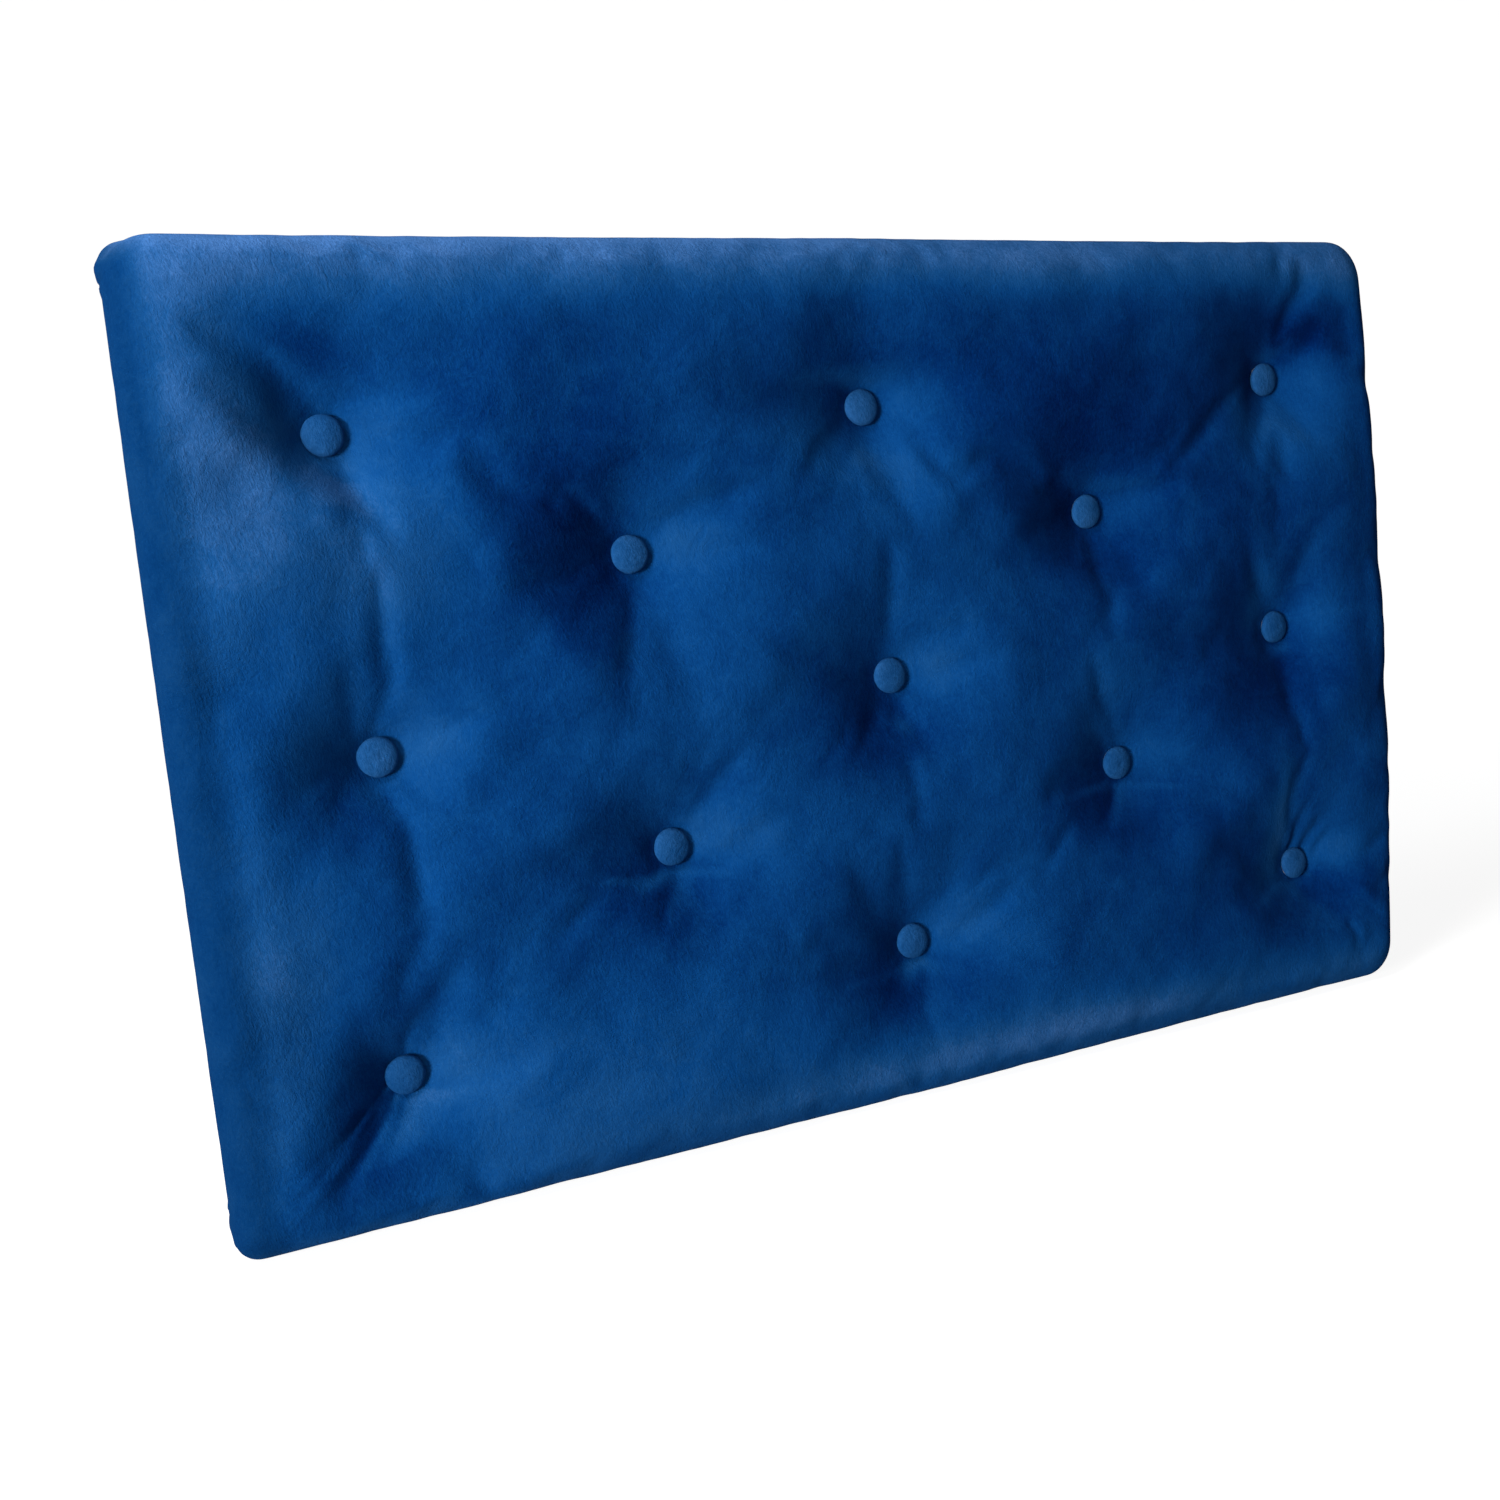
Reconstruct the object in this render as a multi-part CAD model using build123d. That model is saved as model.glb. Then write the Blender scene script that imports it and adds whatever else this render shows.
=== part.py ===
from build123d import *
import math
import os

# Padded headboard, button tufted in velvet. Lengths are in millimetres.
# X runs along the width, the padded face looks towards -Y, the wall side is +Y, Z is up.
# The origin is the middle of the frame's width and of the depth, at the flat line that the lower edge
# rests on. Seen from the room, the left side is nearly straight and the right side swells out.

# The padded panel, measured at its back edge, and how far its sides swell out from there
panel_width = 930.0
panel_height = 600.0
panel_depth = 66.0
edge_fullness = 1.5
left_bulge = 1.0
right_bulge = 10.0
top_bulge = 1.0
bottom_bulge = 2.0
foot_cut = 0.5

# The rounding of its edges and corners
shoulder_radius = 28.0
back_edge_radius = 6.0
corner_radius = 28.0
back_corner_radius = 12.0
crest_corner_radius = 18.0
shoulder_steps = 6
side_steps = 3
back_edge_steps = 2

# The layers, from the wall towards the room
dust_cover_thickness = 1.0
velvet_thickness = 1.2
frame_thickness = 20.0
board_thickness = 3.0
wadding_thickness = 4.5
layer_clearance = 0.15

# The battens of the frame, and the rounding of its outer corners inside the cover
rail_width = 50.0
upright_width = 50.0
frame_corner_radius = 6.5

# The velvet's return on the back, and the cloth that hides the frame
return_width = 46.0
dust_cover_inset = 16.0
dust_cover_corner_radius = 10.0

# Tufts: a wide flare, a steep throat and a flat seat for the button
tuft_depth = 28.0
tuft_run = 66.0
tuft_flare_share = 0.48
tuft_throat_share = 0.42
tuft_rim_angle = 4.0
tuft_start_angle = 1.0
tuft_throat_angle = 65.0

# Covered buttons
button_radius = 13.0
button_height = 7.0
button_rim_radius = 2.4
button_rim_angle = 70.0
button_cloth = 0.9
button_cloth_slack = 0.05
button_back_radius = 7.8
button_seat_clearance = 0.15
button_side_clearance = 0.4
loop_radius = 2.6
loop_wire_radius = 0.55

# Tufting twine, looped through the button and stapled behind the board
twine_radius = 0.75
twine_leg_spacing = 3.2
twine_loop_bend = 1.4
twine_board_bend = 2.0
twine_tail = 24.0
twine_lift = 0.2
twine_hole_radius = 3.6

# Staples: a flat wire bent into a crown and two legs
staple_wire = 0.5
staple_wire_width = 1.2
staple_crown = 10.0
staple_slack = 0.05
board_staple_leg = 9.5
cover_staple_leg = 7.5
dust_staple_leg = 6.0
twine_staple_leg = 4.2
board_staple_inset = 30.0
cover_staple_inset = 34.0
dust_staple_inset = 22.0
board_staple_pitch = 110.0
cover_staple_pitch = 55.0
dust_staple_pitch = 75.0
twine_staple_place = 15.0

# Screws of the frame's butt joints
screw_radius = 2.0
screw_head_radius = 4.0
screw_head_height = 2.4
screw_length = 75.0
screw_slack = 0.1
screw_pair_spacing = 24.0
screw_drive_width = 0.9
screw_drive_depth = 1.4

# Threaded tee nuts for the bolts of legs or wall brackets
bolt_radius = 4.0
bolt_spacing_x = 530.0
bolt_spacing_z = 200.0
nut_barrel_radius = 5.0
nut_barrel_length = 15.0
nut_flange_radius = 9.0
nut_flange_thickness = 1.2
nut_prong_length = 6.0
nut_prong_width = 1.8
nut_prong_thickness = 0.8
nut_slack = 0.1
bolt_way_radius = 6.0

# Every cut runs this far past what it cuts
overrun = 5.0

# Places of the tufts, as shares of the panel's half width and half height from its centre,
# and how wide each flare is, as a share of the widest
tuft_place_shares = (
    (-0.766, 0.618, 0.87),
    (0.018, 0.626, 0.84),
    (0.795, 0.652, 0.69),
    (-0.369, 0.335, 0.99),
    (0.411, 0.347, 0.99),
    (-0.747, -0.031, 0.99),
    (0.028, 0.002, 0.96),
    (0.788, 0.002, 0.80),
    (-0.351, -0.316, 0.98),
    (0.438, -0.292, 0.98),
    (-0.762, -0.696, 0.55),
    (0.028, -0.640, 0.77),
    (0.803, -0.645, 0.62),
)

# What follows from the sizes above. Depths run from the wall into the room.
base_line = edge_fullness + bottom_bulge - foot_cut
frame_back = dust_cover_thickness + velvet_thickness
frame_front = frame_back + frame_thickness
board_front = frame_front + board_thickness
wadding_inset = velvet_thickness + layer_clearance
cavity_inset = wadding_inset + wadding_thickness
foam_inset = cavity_inset + layer_clearance
frame_width = panel_width - 2 * foam_inset
frame_height = panel_height - 2 * foam_inset
frame_middle = frame_back + frame_thickness / 2
button_seat = panel_depth - tuft_depth + button_seat_clearance
seat_radius = button_radius + button_side_clearance
quarter_turn = math.pi / 2
corner_middle_share = math.cos(math.pi / 4)

os.makedirs("parts", exist_ok=True)


def place(x, depth, height):
    """A point by its distance from the middle, from the wall and from half height."""
    return Vector(x, panel_depth / 2 - depth, base_line + panel_height / 2 + height)


def facing_room(x, depth, height):
    """A local frame at a place: its Z points into the room and its Y points up."""
    return Plane(origin=place(x, depth, height), x_dir=(1, 0, 0), z_dir=(0, -1, 0)).location


def facing_wall(x, depth, height, turned=False):
    """A local frame at a place: its Z points at the wall and its X along, or up where turned."""
    along = (0, 0, 1) if turned else (1, 0, 0)
    return Plane(origin=place(x, depth, height), x_dir=along, z_dir=(0, 1, 0)).location


def slab(width, height, near, far, x=0, up=0):
    """A flat board between two depths."""
    middle = place(x, (near + far) / 2, up)
    return Pos(middle) * Box(width, far - near, height)


def save(name, shape):
    """Write one sub-part and print what it holds."""
    solids = shape.solids()
    shape = solids[0] if len(solids) == 1 else Compound(children=list(solids))
    export_step(shape, "parts/" + name + ".step")
    print(name, len(solids), "solids", round(sum(one.volume for one in solids), 2))


# The padded form

def fullness(depth):
    """How much of the swell a level has: none at the back edge, all where the shoulder starts."""
    start = dust_cover_thickness + back_edge_radius
    end = panel_depth - shoulder_radius
    share = min(max((depth - start) / (end - start), 0), 1)
    return math.sin(share * quarter_turn)


def level_radius(depth):
    """The corner's rounding at a level: tight over the frame and the board, wide over the foam."""
    share = max(depth - board_front, 0) / (panel_depth - shoulder_radius - board_front)
    return back_corner_radius + (corner_radius - back_corner_radius) * math.sin(share * quarter_turn)


def outline(depth, out, radius, full):
    """The closed outline of the padding at one depth: four soft sides and four corners."""
    half_width = panel_width / 2 + out + edge_fullness * full
    half_height = panel_height / 2 + out + edge_fullness * full
    straight_x = half_width - radius
    straight_z = half_height - radius
    middle_x = straight_x + radius * corner_middle_share
    middle_z = straight_z + radius * corner_middle_share

    def at(x, z):
        return place(x, depth, z)

    def side(start, middle, end):
        return ThreePointArc(start, middle, end) if full > 0 else Line(start, end)

    left_x = -half_width - left_bulge * full
    right_x = half_width + right_bulge * full
    top_z = half_height + top_bulge * full
    bottom_z = -half_height - bottom_bulge * full
    return Wire([
        side(at(half_width, -straight_z), at(right_x, 0), at(half_width, straight_z)),
        ThreePointArc(at(half_width, straight_z), at(middle_x, middle_z), at(straight_x, half_height)),
        side(at(straight_x, half_height), at(0, top_z), at(-straight_x, half_height)),
        ThreePointArc(at(-straight_x, half_height), at(-middle_x, middle_z), at(-half_width, straight_z)),
        side(at(-half_width, straight_z), at(left_x, 0), at(-half_width, -straight_z)),
        ThreePointArc(at(-half_width, -straight_z), at(-middle_x, -middle_z), at(-straight_x, -half_height)),
        side(at(-straight_x, -half_height), at(0, bottom_z), at(straight_x, -half_height)),
        ThreePointArc(at(straight_x, -half_height), at(middle_x, -middle_z), at(half_width, -straight_z)),
    ])


def back_edge_levels(inset):
    levels = []
    radius = back_edge_radius - inset
    for step in range(back_edge_steps):
        angle = quarter_turn * step / back_edge_steps
        depth = dust_cover_thickness + back_edge_radius - radius * math.cos(angle)
        out = radius * math.sin(angle) - back_edge_radius
        levels.append((depth, out, back_corner_radius + out, 0))
    return levels


def side_levels(inset, first_depth):
    end = panel_depth - shoulder_radius
    levels = []
    for step in range(side_steps):
        depth = first_depth + (end - first_depth) * step / side_steps
        full = fullness(depth)
        levels.append((depth, -inset, level_radius(depth) - inset, full))
    return levels


def shoulder_levels(inset):
    levels = []
    radius = shoulder_radius - inset
    for step in range(shoulder_steps + 1):
        angle = quarter_turn * step / shoulder_steps
        depth = panel_depth - shoulder_radius + radius * math.sin(angle)
        out = radius * math.cos(angle) - shoulder_radius
        narrowing = (corner_radius - crest_corner_radius) * (1 - math.cos(angle))
        levels.append((depth, out, corner_radius - narrowing - inset * math.cos(angle), 1))
    return levels


def tuft_hollow(run_share, inset):
    """What a tuft takes out of the padding, and out of a layer that lies an inset below its skin."""
    rim = math.radians(tuft_rim_angle)
    start = math.radians(tuft_start_angle)
    throat = math.radians(tuft_throat_angle)
    flare_drop = tuft_depth * tuft_flare_share
    flare_run = tuft_run * run_share
    join = 2 * math.atan2(flare_drop, flare_run) - rim
    flare_radius = flare_drop / (math.cos(rim) - math.cos(join))
    throat_radius = tuft_depth * tuft_throat_share / (math.cos(join) - math.cos(throat))
    straight_drop = tuft_depth * (1 - tuft_flare_share - tuft_throat_share)
    throat_middle_r = seat_radius + straight_drop / math.tan(throat) + throat_radius * math.sin(throat)
    flare_middle_r = throat_middle_r + (flare_radius - throat_radius) * math.sin(join)
    flare_middle_z = -flare_radius * math.cos(rim)
    throat_middle_z = flare_middle_z + (flare_radius - throat_radius) * math.cos(join)

    def on_flare(angle):
        reach = flare_radius - inset
        return (flare_middle_r - reach * math.sin(angle), flare_middle_z + reach * math.cos(angle))

    def on_throat(angle):
        reach = throat_radius - inset
        return (throat_middle_r - reach * math.sin(angle), throat_middle_z + reach * math.cos(angle))

    seat_z = -tuft_depth - inset
    throat_end = on_throat(throat)
    seat_r = throat_end[0] - (throat_end[1] - seat_z) / math.tan(throat)
    flare = ThreePointArc(on_flare(start), on_flare((start + join) / 2), on_flare(join))
    bend = ThreePointArc(on_throat(join), on_throat((join + throat) / 2), throat_end)
    rest = Polyline(throat_end, (seat_r, seat_z), (0, seat_z), (0, overrun), (on_flare(start)[0], overrun),
                    on_flare(start))
    half = Plane.XZ * make_face([flare, bend, rest])
    return revolve(half, Axis.Z)


def padded_form(inset, first_depth=None):
    """The tufted padding, an inset below its skin, whole or from one depth on."""
    levels = shoulder_levels(inset)
    if first_depth is None:
        back_edge = back_edge_levels(inset)
        levels = back_edge + side_levels(inset, dust_cover_thickness + back_edge_radius) + levels
    else:
        levels = side_levels(inset, first_depth) + levels
    body = Solid.make_loft([outline(*level) for level in levels], ruled=True)
    hollows = [facing_room(x, panel_depth, up) * tuft_hollow(share, inset) for x, up, share in tuft_places()]
    return body - hollows


def tuft_places():
    half_width = panel_width / 2
    half_height = panel_height / 2
    return [(half_width * x, half_height * up, run) for x, up, run in tuft_place_shares]


def twine_channels():
    """The way of each twine, from its button's seat to behind the board."""
    length = panel_depth - tuft_depth + overrun - frame_back
    return [
        facing_room(x, frame_front - overrun, up)
        * Cylinder(twine_hole_radius, length, align=(Align.CENTER, Align.CENTER, Align.MIN))
        for x, up, run in tuft_places()
    ]


# Staples and where they go

def staple(leg, slack=0, above=0):
    """A staple with its crown's underside at zero, or the room that it needs."""
    half = staple_crown / 2 + slack
    inner = staple_crown / 2 - staple_wire - slack
    top = staple_wire + above
    low = -leg - slack
    under = -slack
    shape = Polyline((-half, top), (half, top), (half, low), (inner, low), (inner, under),
                     (-inner, under), (-inner, low), (-half, low), close=True)
    width = staple_wire_width / 2 + slack
    return extrude(Plane.XZ * make_face(shape), width, both=True)


def staples_along(length, pitch):
    """Even places along a side, with half a gap at each end."""
    count = round(length / pitch)
    return [(index + 1 / 2 - count / 2) * length / count for index in range(count)]


def ring_places(inset, pitch):
    """Places round the panel, an inset from its edge, with each one's turn along the side."""
    across = panel_width / 2 - inset
    up = panel_height / 2 - inset
    places = [(x, side * up, False) for side in (-1, 1) for x in staples_along(2 * across, pitch)]
    places += [(side * across, z, True) for side in (-1, 1) for z in staples_along(2 * up, pitch)]
    return places


def board_staple_spots(depth):
    spots = []
    for x, up, turned in ring_places(board_staple_inset, board_staple_pitch):
        along = (0, 0, 1) if turned else (1, 0, 0)
        spots.append(Plane(origin=place(x, depth, up), x_dir=along, z_dir=(0, -1, 0)).location)
    free_height = frame_height - 2 * rail_width
    for side in (-1, 1):
        for up in staples_along(free_height, board_staple_pitch):
            if abs(abs(up) - bolt_spacing_z / 2) > nut_flange_radius + staple_crown:
                spots.append(Plane(origin=place(side * bolt_spacing_x / 2, depth, up), x_dir=(0, 0, 1),
                                   z_dir=(0, -1, 0)).location)
    return spots


def wall_staple_spots(inset, pitch, depth):
    return [facing_wall(x, depth, up, turned) for x, up, turned in ring_places(inset, pitch)]


board_staple_seat = board_front - staple_wire - staple_slack
cover_staple_seat = dust_cover_thickness + staple_wire + staple_slack
dust_staple_seat = staple_wire + staple_slack


def near(spots, low_x, high_x, low_z, high_z):
    """The spots of a list that lie over one batten or reach into it."""
    middle = base_line + panel_height / 2
    kept = []
    for spot in spots:
        along = low_x - staple_crown < spot.position.X < high_x + staple_crown
        up = low_z - staple_crown < spot.position.Z - middle < high_z + staple_crown
        if along and up:
            kept.append(spot)
    return kept


def staple_room(spots, leg):
    room = staple(leg, staple_slack, overrun)
    return [spot * room for spot in spots]


def twine_staple_spots():
    depth = frame_front - twine_lift - 2 * twine_radius - staple_slack
    return [facing_wall(x, depth, up + side * twine_staple_place)
            for x, up, run in tuft_places() for side in (-1, 1)]


# The frame

def screw(slack=0, above=0):
    """A countersunk wood screw with its head's top at zero, or the hole that it needs."""
    neck = -screw_head_height - slack
    tip = -screw_length - slack
    head_r = screw_head_radius + slack
    shank_r = screw_radius + slack
    head = [(0, above), (head_r, above)] if above else [(0, 0)]
    rest = [(head_r, 0), (shank_r, neck), (shank_r, tip), (0, tip)]
    body = revolve(Plane.XZ * make_face(Polyline(*head, *rest, close=True)), Axis.Z)
    if above:
        return body
    reach = 2 * screw_radius
    deep = 2 * screw_drive_depth
    return body - [Box(reach, screw_drive_width, deep), Box(screw_drive_width, reach, deep)]


def screw_spots():
    """Through the stiles into the rails, and through the rails into the uprights."""
    edge_x = frame_width / 2
    edge_z = frame_height / 2
    rail_middle = edge_z - rail_width / 2
    spots = []
    for side in (-1, 1):
        for end in (-1, 1):
            for step in (-1, 1):
                up = end * rail_middle + step * screw_pair_spacing / 2
                spots.append(Plane(origin=place(side * edge_x, frame_middle, up), x_dir=(0, 1, 0),
                                   z_dir=(side, 0, 0)).location)
                across = side * bolt_spacing_x / 2 + step * screw_pair_spacing / 2
                spots.append(Plane(origin=place(across, frame_middle, end * edge_z), x_dir=(1, 0, 0),
                                   z_dir=(0, 0, end)).location)
    return spots


def tee_nut(slack=0, through=0):
    """A tee nut with its flange's face at zero and its barrel towards the wall, or its room."""
    down = Align.CENTER, Align.CENTER, Align.MAX
    flange = Cylinder(nut_flange_radius + slack, nut_flange_thickness + slack, align=down)
    length = through if through else nut_barrel_length
    barrel = Cylinder(nut_barrel_radius + slack, length, align=down)
    prongs = []
    for turn in range(4):
        prong = Box(nut_prong_width + 2 * slack, nut_prong_thickness + 2 * slack,
                    nut_flange_thickness + nut_prong_length + slack, align=down)
        reach = nut_flange_radius - nut_prong_thickness
        prongs.append(Rot(0, 0, 90 * turn) * Pos(0, reach, 0) * prong)
    nut = flange + barrel + prongs
    if through:
        return nut
    return nut - Cylinder(bolt_radius, 3 * nut_barrel_length)


def nut_spots():
    return [facing_room(side * bolt_spacing_x / 2, frame_front, end * bolt_spacing_z / 2)
            for side in (-1, 1) for end in (-1, 1)]


def batten(width, height, x, up, rounded=False):
    """One batten of the frame, with the holes of the screws, staples and nuts that go into it."""
    wood = slab(width, height, frame_back, frame_front, x, up)
    if rounded:
        corners = [edge for edge in wood.edges().filter_by(Axis.Y) if abs(edge.center().X) > abs(x)]
        wood = fillet(corners, frame_corner_radius)
    box = (x - width / 2, x + width / 2, up - height / 2, up + height / 2)
    board_spots = near(board_staple_spots(board_staple_seat), *box)
    cover_spots = near(wall_staple_spots(cover_staple_inset, cover_staple_pitch, cover_staple_seat), *box)
    dust_spots = near(wall_staple_spots(dust_staple_inset, dust_staple_pitch, dust_staple_seat), *box)
    cuts = staple_room(board_spots, board_staple_leg)
    cuts += staple_room(cover_spots, cover_staple_leg)
    cuts += staple_room(dust_spots, dust_staple_leg)
    cuts += [spot * tee_nut(nut_slack, frame_thickness + overrun) for spot in near(nut_spots(), *box)]
    holes = [spot * screw(screw_slack, overrun) for spot in screw_spots()]
    return wood - (cuts + holes)


def face_board():
    board = slab(frame_width, frame_height, frame_front, board_front)
    cuts = twine_channels()
    cuts += staple_room(board_staple_spots(board_staple_seat), board_staple_leg)
    cuts += staple_room(twine_staple_spots(), twine_staple_leg)
    return board - cuts


# The soft layers

def foam_pad():
    return padded_form(foam_inset, board_front) - twine_channels()


def wadding_layer():
    """A soft layer round the foam, drawn back over the frame's edges."""
    cavity = padded_form(cavity_inset, board_front - layer_clearance)
    frame_room = slab(frame_width + 2 * layer_clearance, frame_height + 2 * layer_clearance,
                      -overrun, board_front)
    return padded_form(wadding_inset) - [cavity, frame_room] - twine_channels()


def velvet_cover():
    """The velvet: over the padding, round the frame's edges and in on its back."""
    opening = slab(panel_width - 2 * return_width, panel_height - 2 * return_width, -overrun, board_front)
    floor = Box(2 * panel_width, 2 * panel_depth, panel_height, align=(Align.CENTER, Align.CENTER, Align.MAX))
    cover = padded_form(0) - padded_form(velvet_thickness)
    cover -= [opening, floor]
    cuts = twine_channels()
    cuts += staple_room(wall_staple_spots(cover_staple_inset, cover_staple_pitch, cover_staple_seat),
                        cover_staple_leg)
    cuts += staple_room(wall_staple_spots(dust_staple_inset, dust_staple_pitch, dust_staple_seat),
                        dust_staple_leg)
    return cover - cuts


def dust_cover():
    sheet = extrude(RectangleRounded(panel_width - 2 * dust_cover_inset, panel_height - 2 * dust_cover_inset,
                                     dust_cover_corner_radius), dust_cover_thickness)
    sheet = facing_room(0, 0, 0) * sheet
    cuts = staple_room(wall_staple_spots(dust_staple_inset, dust_staple_pitch, dust_staple_seat),
                       dust_staple_leg)
    ways = [spot * Cylinder(bolt_way_radius, 4 * frame_thickness) for spot in nut_spots()]
    return sheet - (cuts + ways)


# Buttons and twine

def button_form(offset):
    """The round of a covered button, a thickness below its cloth."""
    rim_r = button_radius - button_rim_radius
    radius = button_rim_radius - offset
    angle = math.radians(button_rim_angle)
    middle = (angle - quarter_turn) / 2
    top = button_height - offset
    low = (rim_r, offset)
    rim_middle = (rim_r + radius * math.cos(middle), button_rim_radius + radius * math.sin(middle))
    rim_end = (rim_r + radius * math.cos(angle), button_rim_radius + radius * math.sin(angle))
    dome_drop = top - rim_end[1]
    dome_radius = (rim_end[0] ** 2 + dome_drop ** 2) / (2 * dome_drop)
    half_x = rim_end[0] / 2
    dome_middle = (half_x, top - dome_radius + math.sqrt(dome_radius ** 2 - half_x ** 2))
    rim = ThreePointArc(low, rim_middle, rim_end)
    dome = ThreePointArc(rim_end, dome_middle, (0, top))
    rest = Polyline((0, top), (0, offset), low)
    return revolve(Plane.XZ * make_face([rim, dome, rest]), Axis.Z)


def button_cloth_cap():
    opening = Cylinder(button_back_radius + button_cloth_slack, 2 * button_cloth + button_cloth_slack)
    return button_form(0) - button_form(button_cloth) - opening


def button_core():
    """The shell under the cloth, its back plate and the wire loop that the twine goes through."""
    inset = button_cloth + button_cloth_slack
    plate = Cylinder(button_back_radius, 2 * inset, align=(Align.CENTER, Align.CENTER, Align.MIN))
    loop = Rot(90, 0, 0) * Torus(loop_radius, loop_wire_radius)
    return button_form(inset) + plate + loop


def tufting_twine():
    """A hairpin of twine through the button's loop, with its two tails behind the board."""
    leg = twine_leg_spacing / 2
    apex = -loop_radius + leg
    low = frame_front - twine_lift - twine_radius - button_seat
    points = [(0, twine_tail, low), (0, leg, low), (0, leg, apex), (0, -leg, apex), (0, -leg, low),
              (0, -twine_tail, low)]
    radii = [twine_board_bend, twine_loop_bend, twine_loop_bend, twine_board_bend]
    route = FilletPolyline(*points, radius=radii)
    section = Plane(origin=route @ 0, z_dir=route % 0) * Circle(twine_radius)
    twine = sweep(section, path=route)
    print("twine length", round(route.length, 1), "volume against section times length",
          round(twine.volume / (math.pi * twine_radius ** 2 * route.length), 4))
    return twine


def make_padding():
    save("velvet_cover", velvet_cover())
    save("wadding_layer", wadding_layer())
    save("foam_pad", foam_pad())


def make_frame():
    side_x = frame_width / 2 - rail_width / 2
    side_z = frame_height / 2 - rail_width / 2
    rail_length = frame_width - 2 * rail_width
    upright_length = frame_height - 2 * rail_width
    save("face_board", face_board())
    save("top_rail", batten(rail_length, rail_width, 0, side_z))
    save("bottom_rail", batten(rail_length, rail_width, 0, -side_z))
    save("left_stile", batten(rail_width, frame_height, -side_x, 0, rounded=True))
    save("right_stile", batten(rail_width, frame_height, side_x, 0, rounded=True))
    save("left_upright", batten(upright_width, upright_length, -bolt_spacing_x / 2, 0))
    save("right_upright", batten(upright_width, upright_length, bolt_spacing_x / 2, 0))
    save("dust_cover", dust_cover())


def make_fasteners():
    save("tee_nuts", Compound(children=[spot * tee_nut() for spot in nut_spots()]))
    save("frame_screws", Compound(children=[spot * screw() for spot in screw_spots()]))
    board_staples = [spot * staple(board_staple_leg) for spot in board_staple_spots(board_staple_seat)]
    save("face_board_staples", Compound(children=board_staples))
    cover_spots = wall_staple_spots(cover_staple_inset, cover_staple_pitch, cover_staple_seat)
    save("cover_staples", Compound(children=[spot * staple(cover_staple_leg) for spot in cover_spots]))
    dust_spots = wall_staple_spots(dust_staple_inset, dust_staple_pitch, dust_staple_seat)
    save("dust_cover_staples", Compound(children=[spot * staple(dust_staple_leg) for spot in dust_spots]))
    twine_staples = [spot * staple(twine_staple_leg) for spot in twine_staple_spots()]
    save("twine_staples", Compound(children=twine_staples))


def make_tufting():
    cap = button_cloth_cap()
    core = button_core()
    twine = tufting_twine()
    for number, (x, up, run) in enumerate(tuft_places(), start=1):
        seat = facing_room(x, button_seat, up)
        save(f"tufting_button_{number:02d}", seat * cap)
        save(f"button_core_{number:02d}", seat * core)
        save(f"tufting_twine_{number:02d}", seat * twine)


make_padding()
make_frame()
make_fasteners()
make_tufting()
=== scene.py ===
# %% [markdown]
# # A button-tufted velvet headboard
# The part is a padded panel: a pine frame and a hardboard face carry foam and wadding, and navy velvet
# is drawn over all of it and pulled down by thirteen covered buttons.
# The construction is already made in CAD and packed. This script loads it as a fixed frame and dresses
# it: the soft pieces get their real, swollen form, and every piece gets a finish.

# %% Load the frame
import math

import bmesh
import bpy
import numpy as np
from mathutils import Matrix, Quaternion, Vector


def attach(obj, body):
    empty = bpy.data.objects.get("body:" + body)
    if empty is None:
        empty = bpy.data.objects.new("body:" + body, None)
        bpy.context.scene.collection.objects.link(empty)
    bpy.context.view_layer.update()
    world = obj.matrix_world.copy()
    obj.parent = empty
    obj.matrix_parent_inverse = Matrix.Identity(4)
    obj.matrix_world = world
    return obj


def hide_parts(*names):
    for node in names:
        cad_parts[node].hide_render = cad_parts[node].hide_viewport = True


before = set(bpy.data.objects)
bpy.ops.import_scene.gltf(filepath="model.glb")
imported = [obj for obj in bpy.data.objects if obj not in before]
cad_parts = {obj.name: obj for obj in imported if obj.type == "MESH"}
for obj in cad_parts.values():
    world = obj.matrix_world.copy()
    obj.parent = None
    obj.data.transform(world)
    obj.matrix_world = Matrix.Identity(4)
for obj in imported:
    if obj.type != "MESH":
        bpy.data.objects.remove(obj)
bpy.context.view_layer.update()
mm = 0.001

# %% [markdown]
# ## A few tools
# These steps come back all through the lesson: put a new object into the scene, shade a mesh smoothly,
# keep what a modifier makes, and ease a value in and out.

# %% Tools


def added(name, data):
    """A new object in the scene, for a mesh, a light or a camera."""
    made = bpy.data.objects.new(name, data)
    bpy.context.scene.collection.objects.link(made)
    return made


def shade_smoothly(mesh):
    mesh.polygons.foreach_set("use_smooth", [True] * len(mesh.polygons))


def keep_result(piece, modifier):
    """Turn what a modifier makes of a piece into its plain mesh, and take the modifier off."""
    shaped = piece.evaluated_get(bpy.context.evaluated_depsgraph_get())
    mesh = bpy.data.meshes.new_from_object(shaped)
    piece.modifiers.remove(modifier)
    before, piece.data = piece.data, mesh
    bpy.data.meshes.remove(before)
    return mesh


def eased(share):
    """A share from 0 to 1 that starts and ends gently."""
    return share * share * (3 - 2 * share)


def turned_towards(place, aim):
    """The turn of a camera or lamp that looks from a place at a point."""
    return (Vector(aim) - Vector(place)).to_track_quat("-Z", "Y")


print("tools ready")

# %% [markdown]
# ## The camera
# The photograph was taken from the panel's left end, a little above its middle, with a wide lens that
# was held a little askew. A camera could be aimed by eye, but a matched one comes closer: a fit
# changed its place, aim, roll and lens until the panel's outline and its buttons lay within a few
# pixels of the photograph's.

# %% Camera
camera_place, camera_aim = (-0.4953, -0.9212, 0.3742), (-0.1106, -0.0330, 0.2683)
camera_roll, camera_lens, sensor_width = -5.48, 35.31, 36.0

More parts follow.
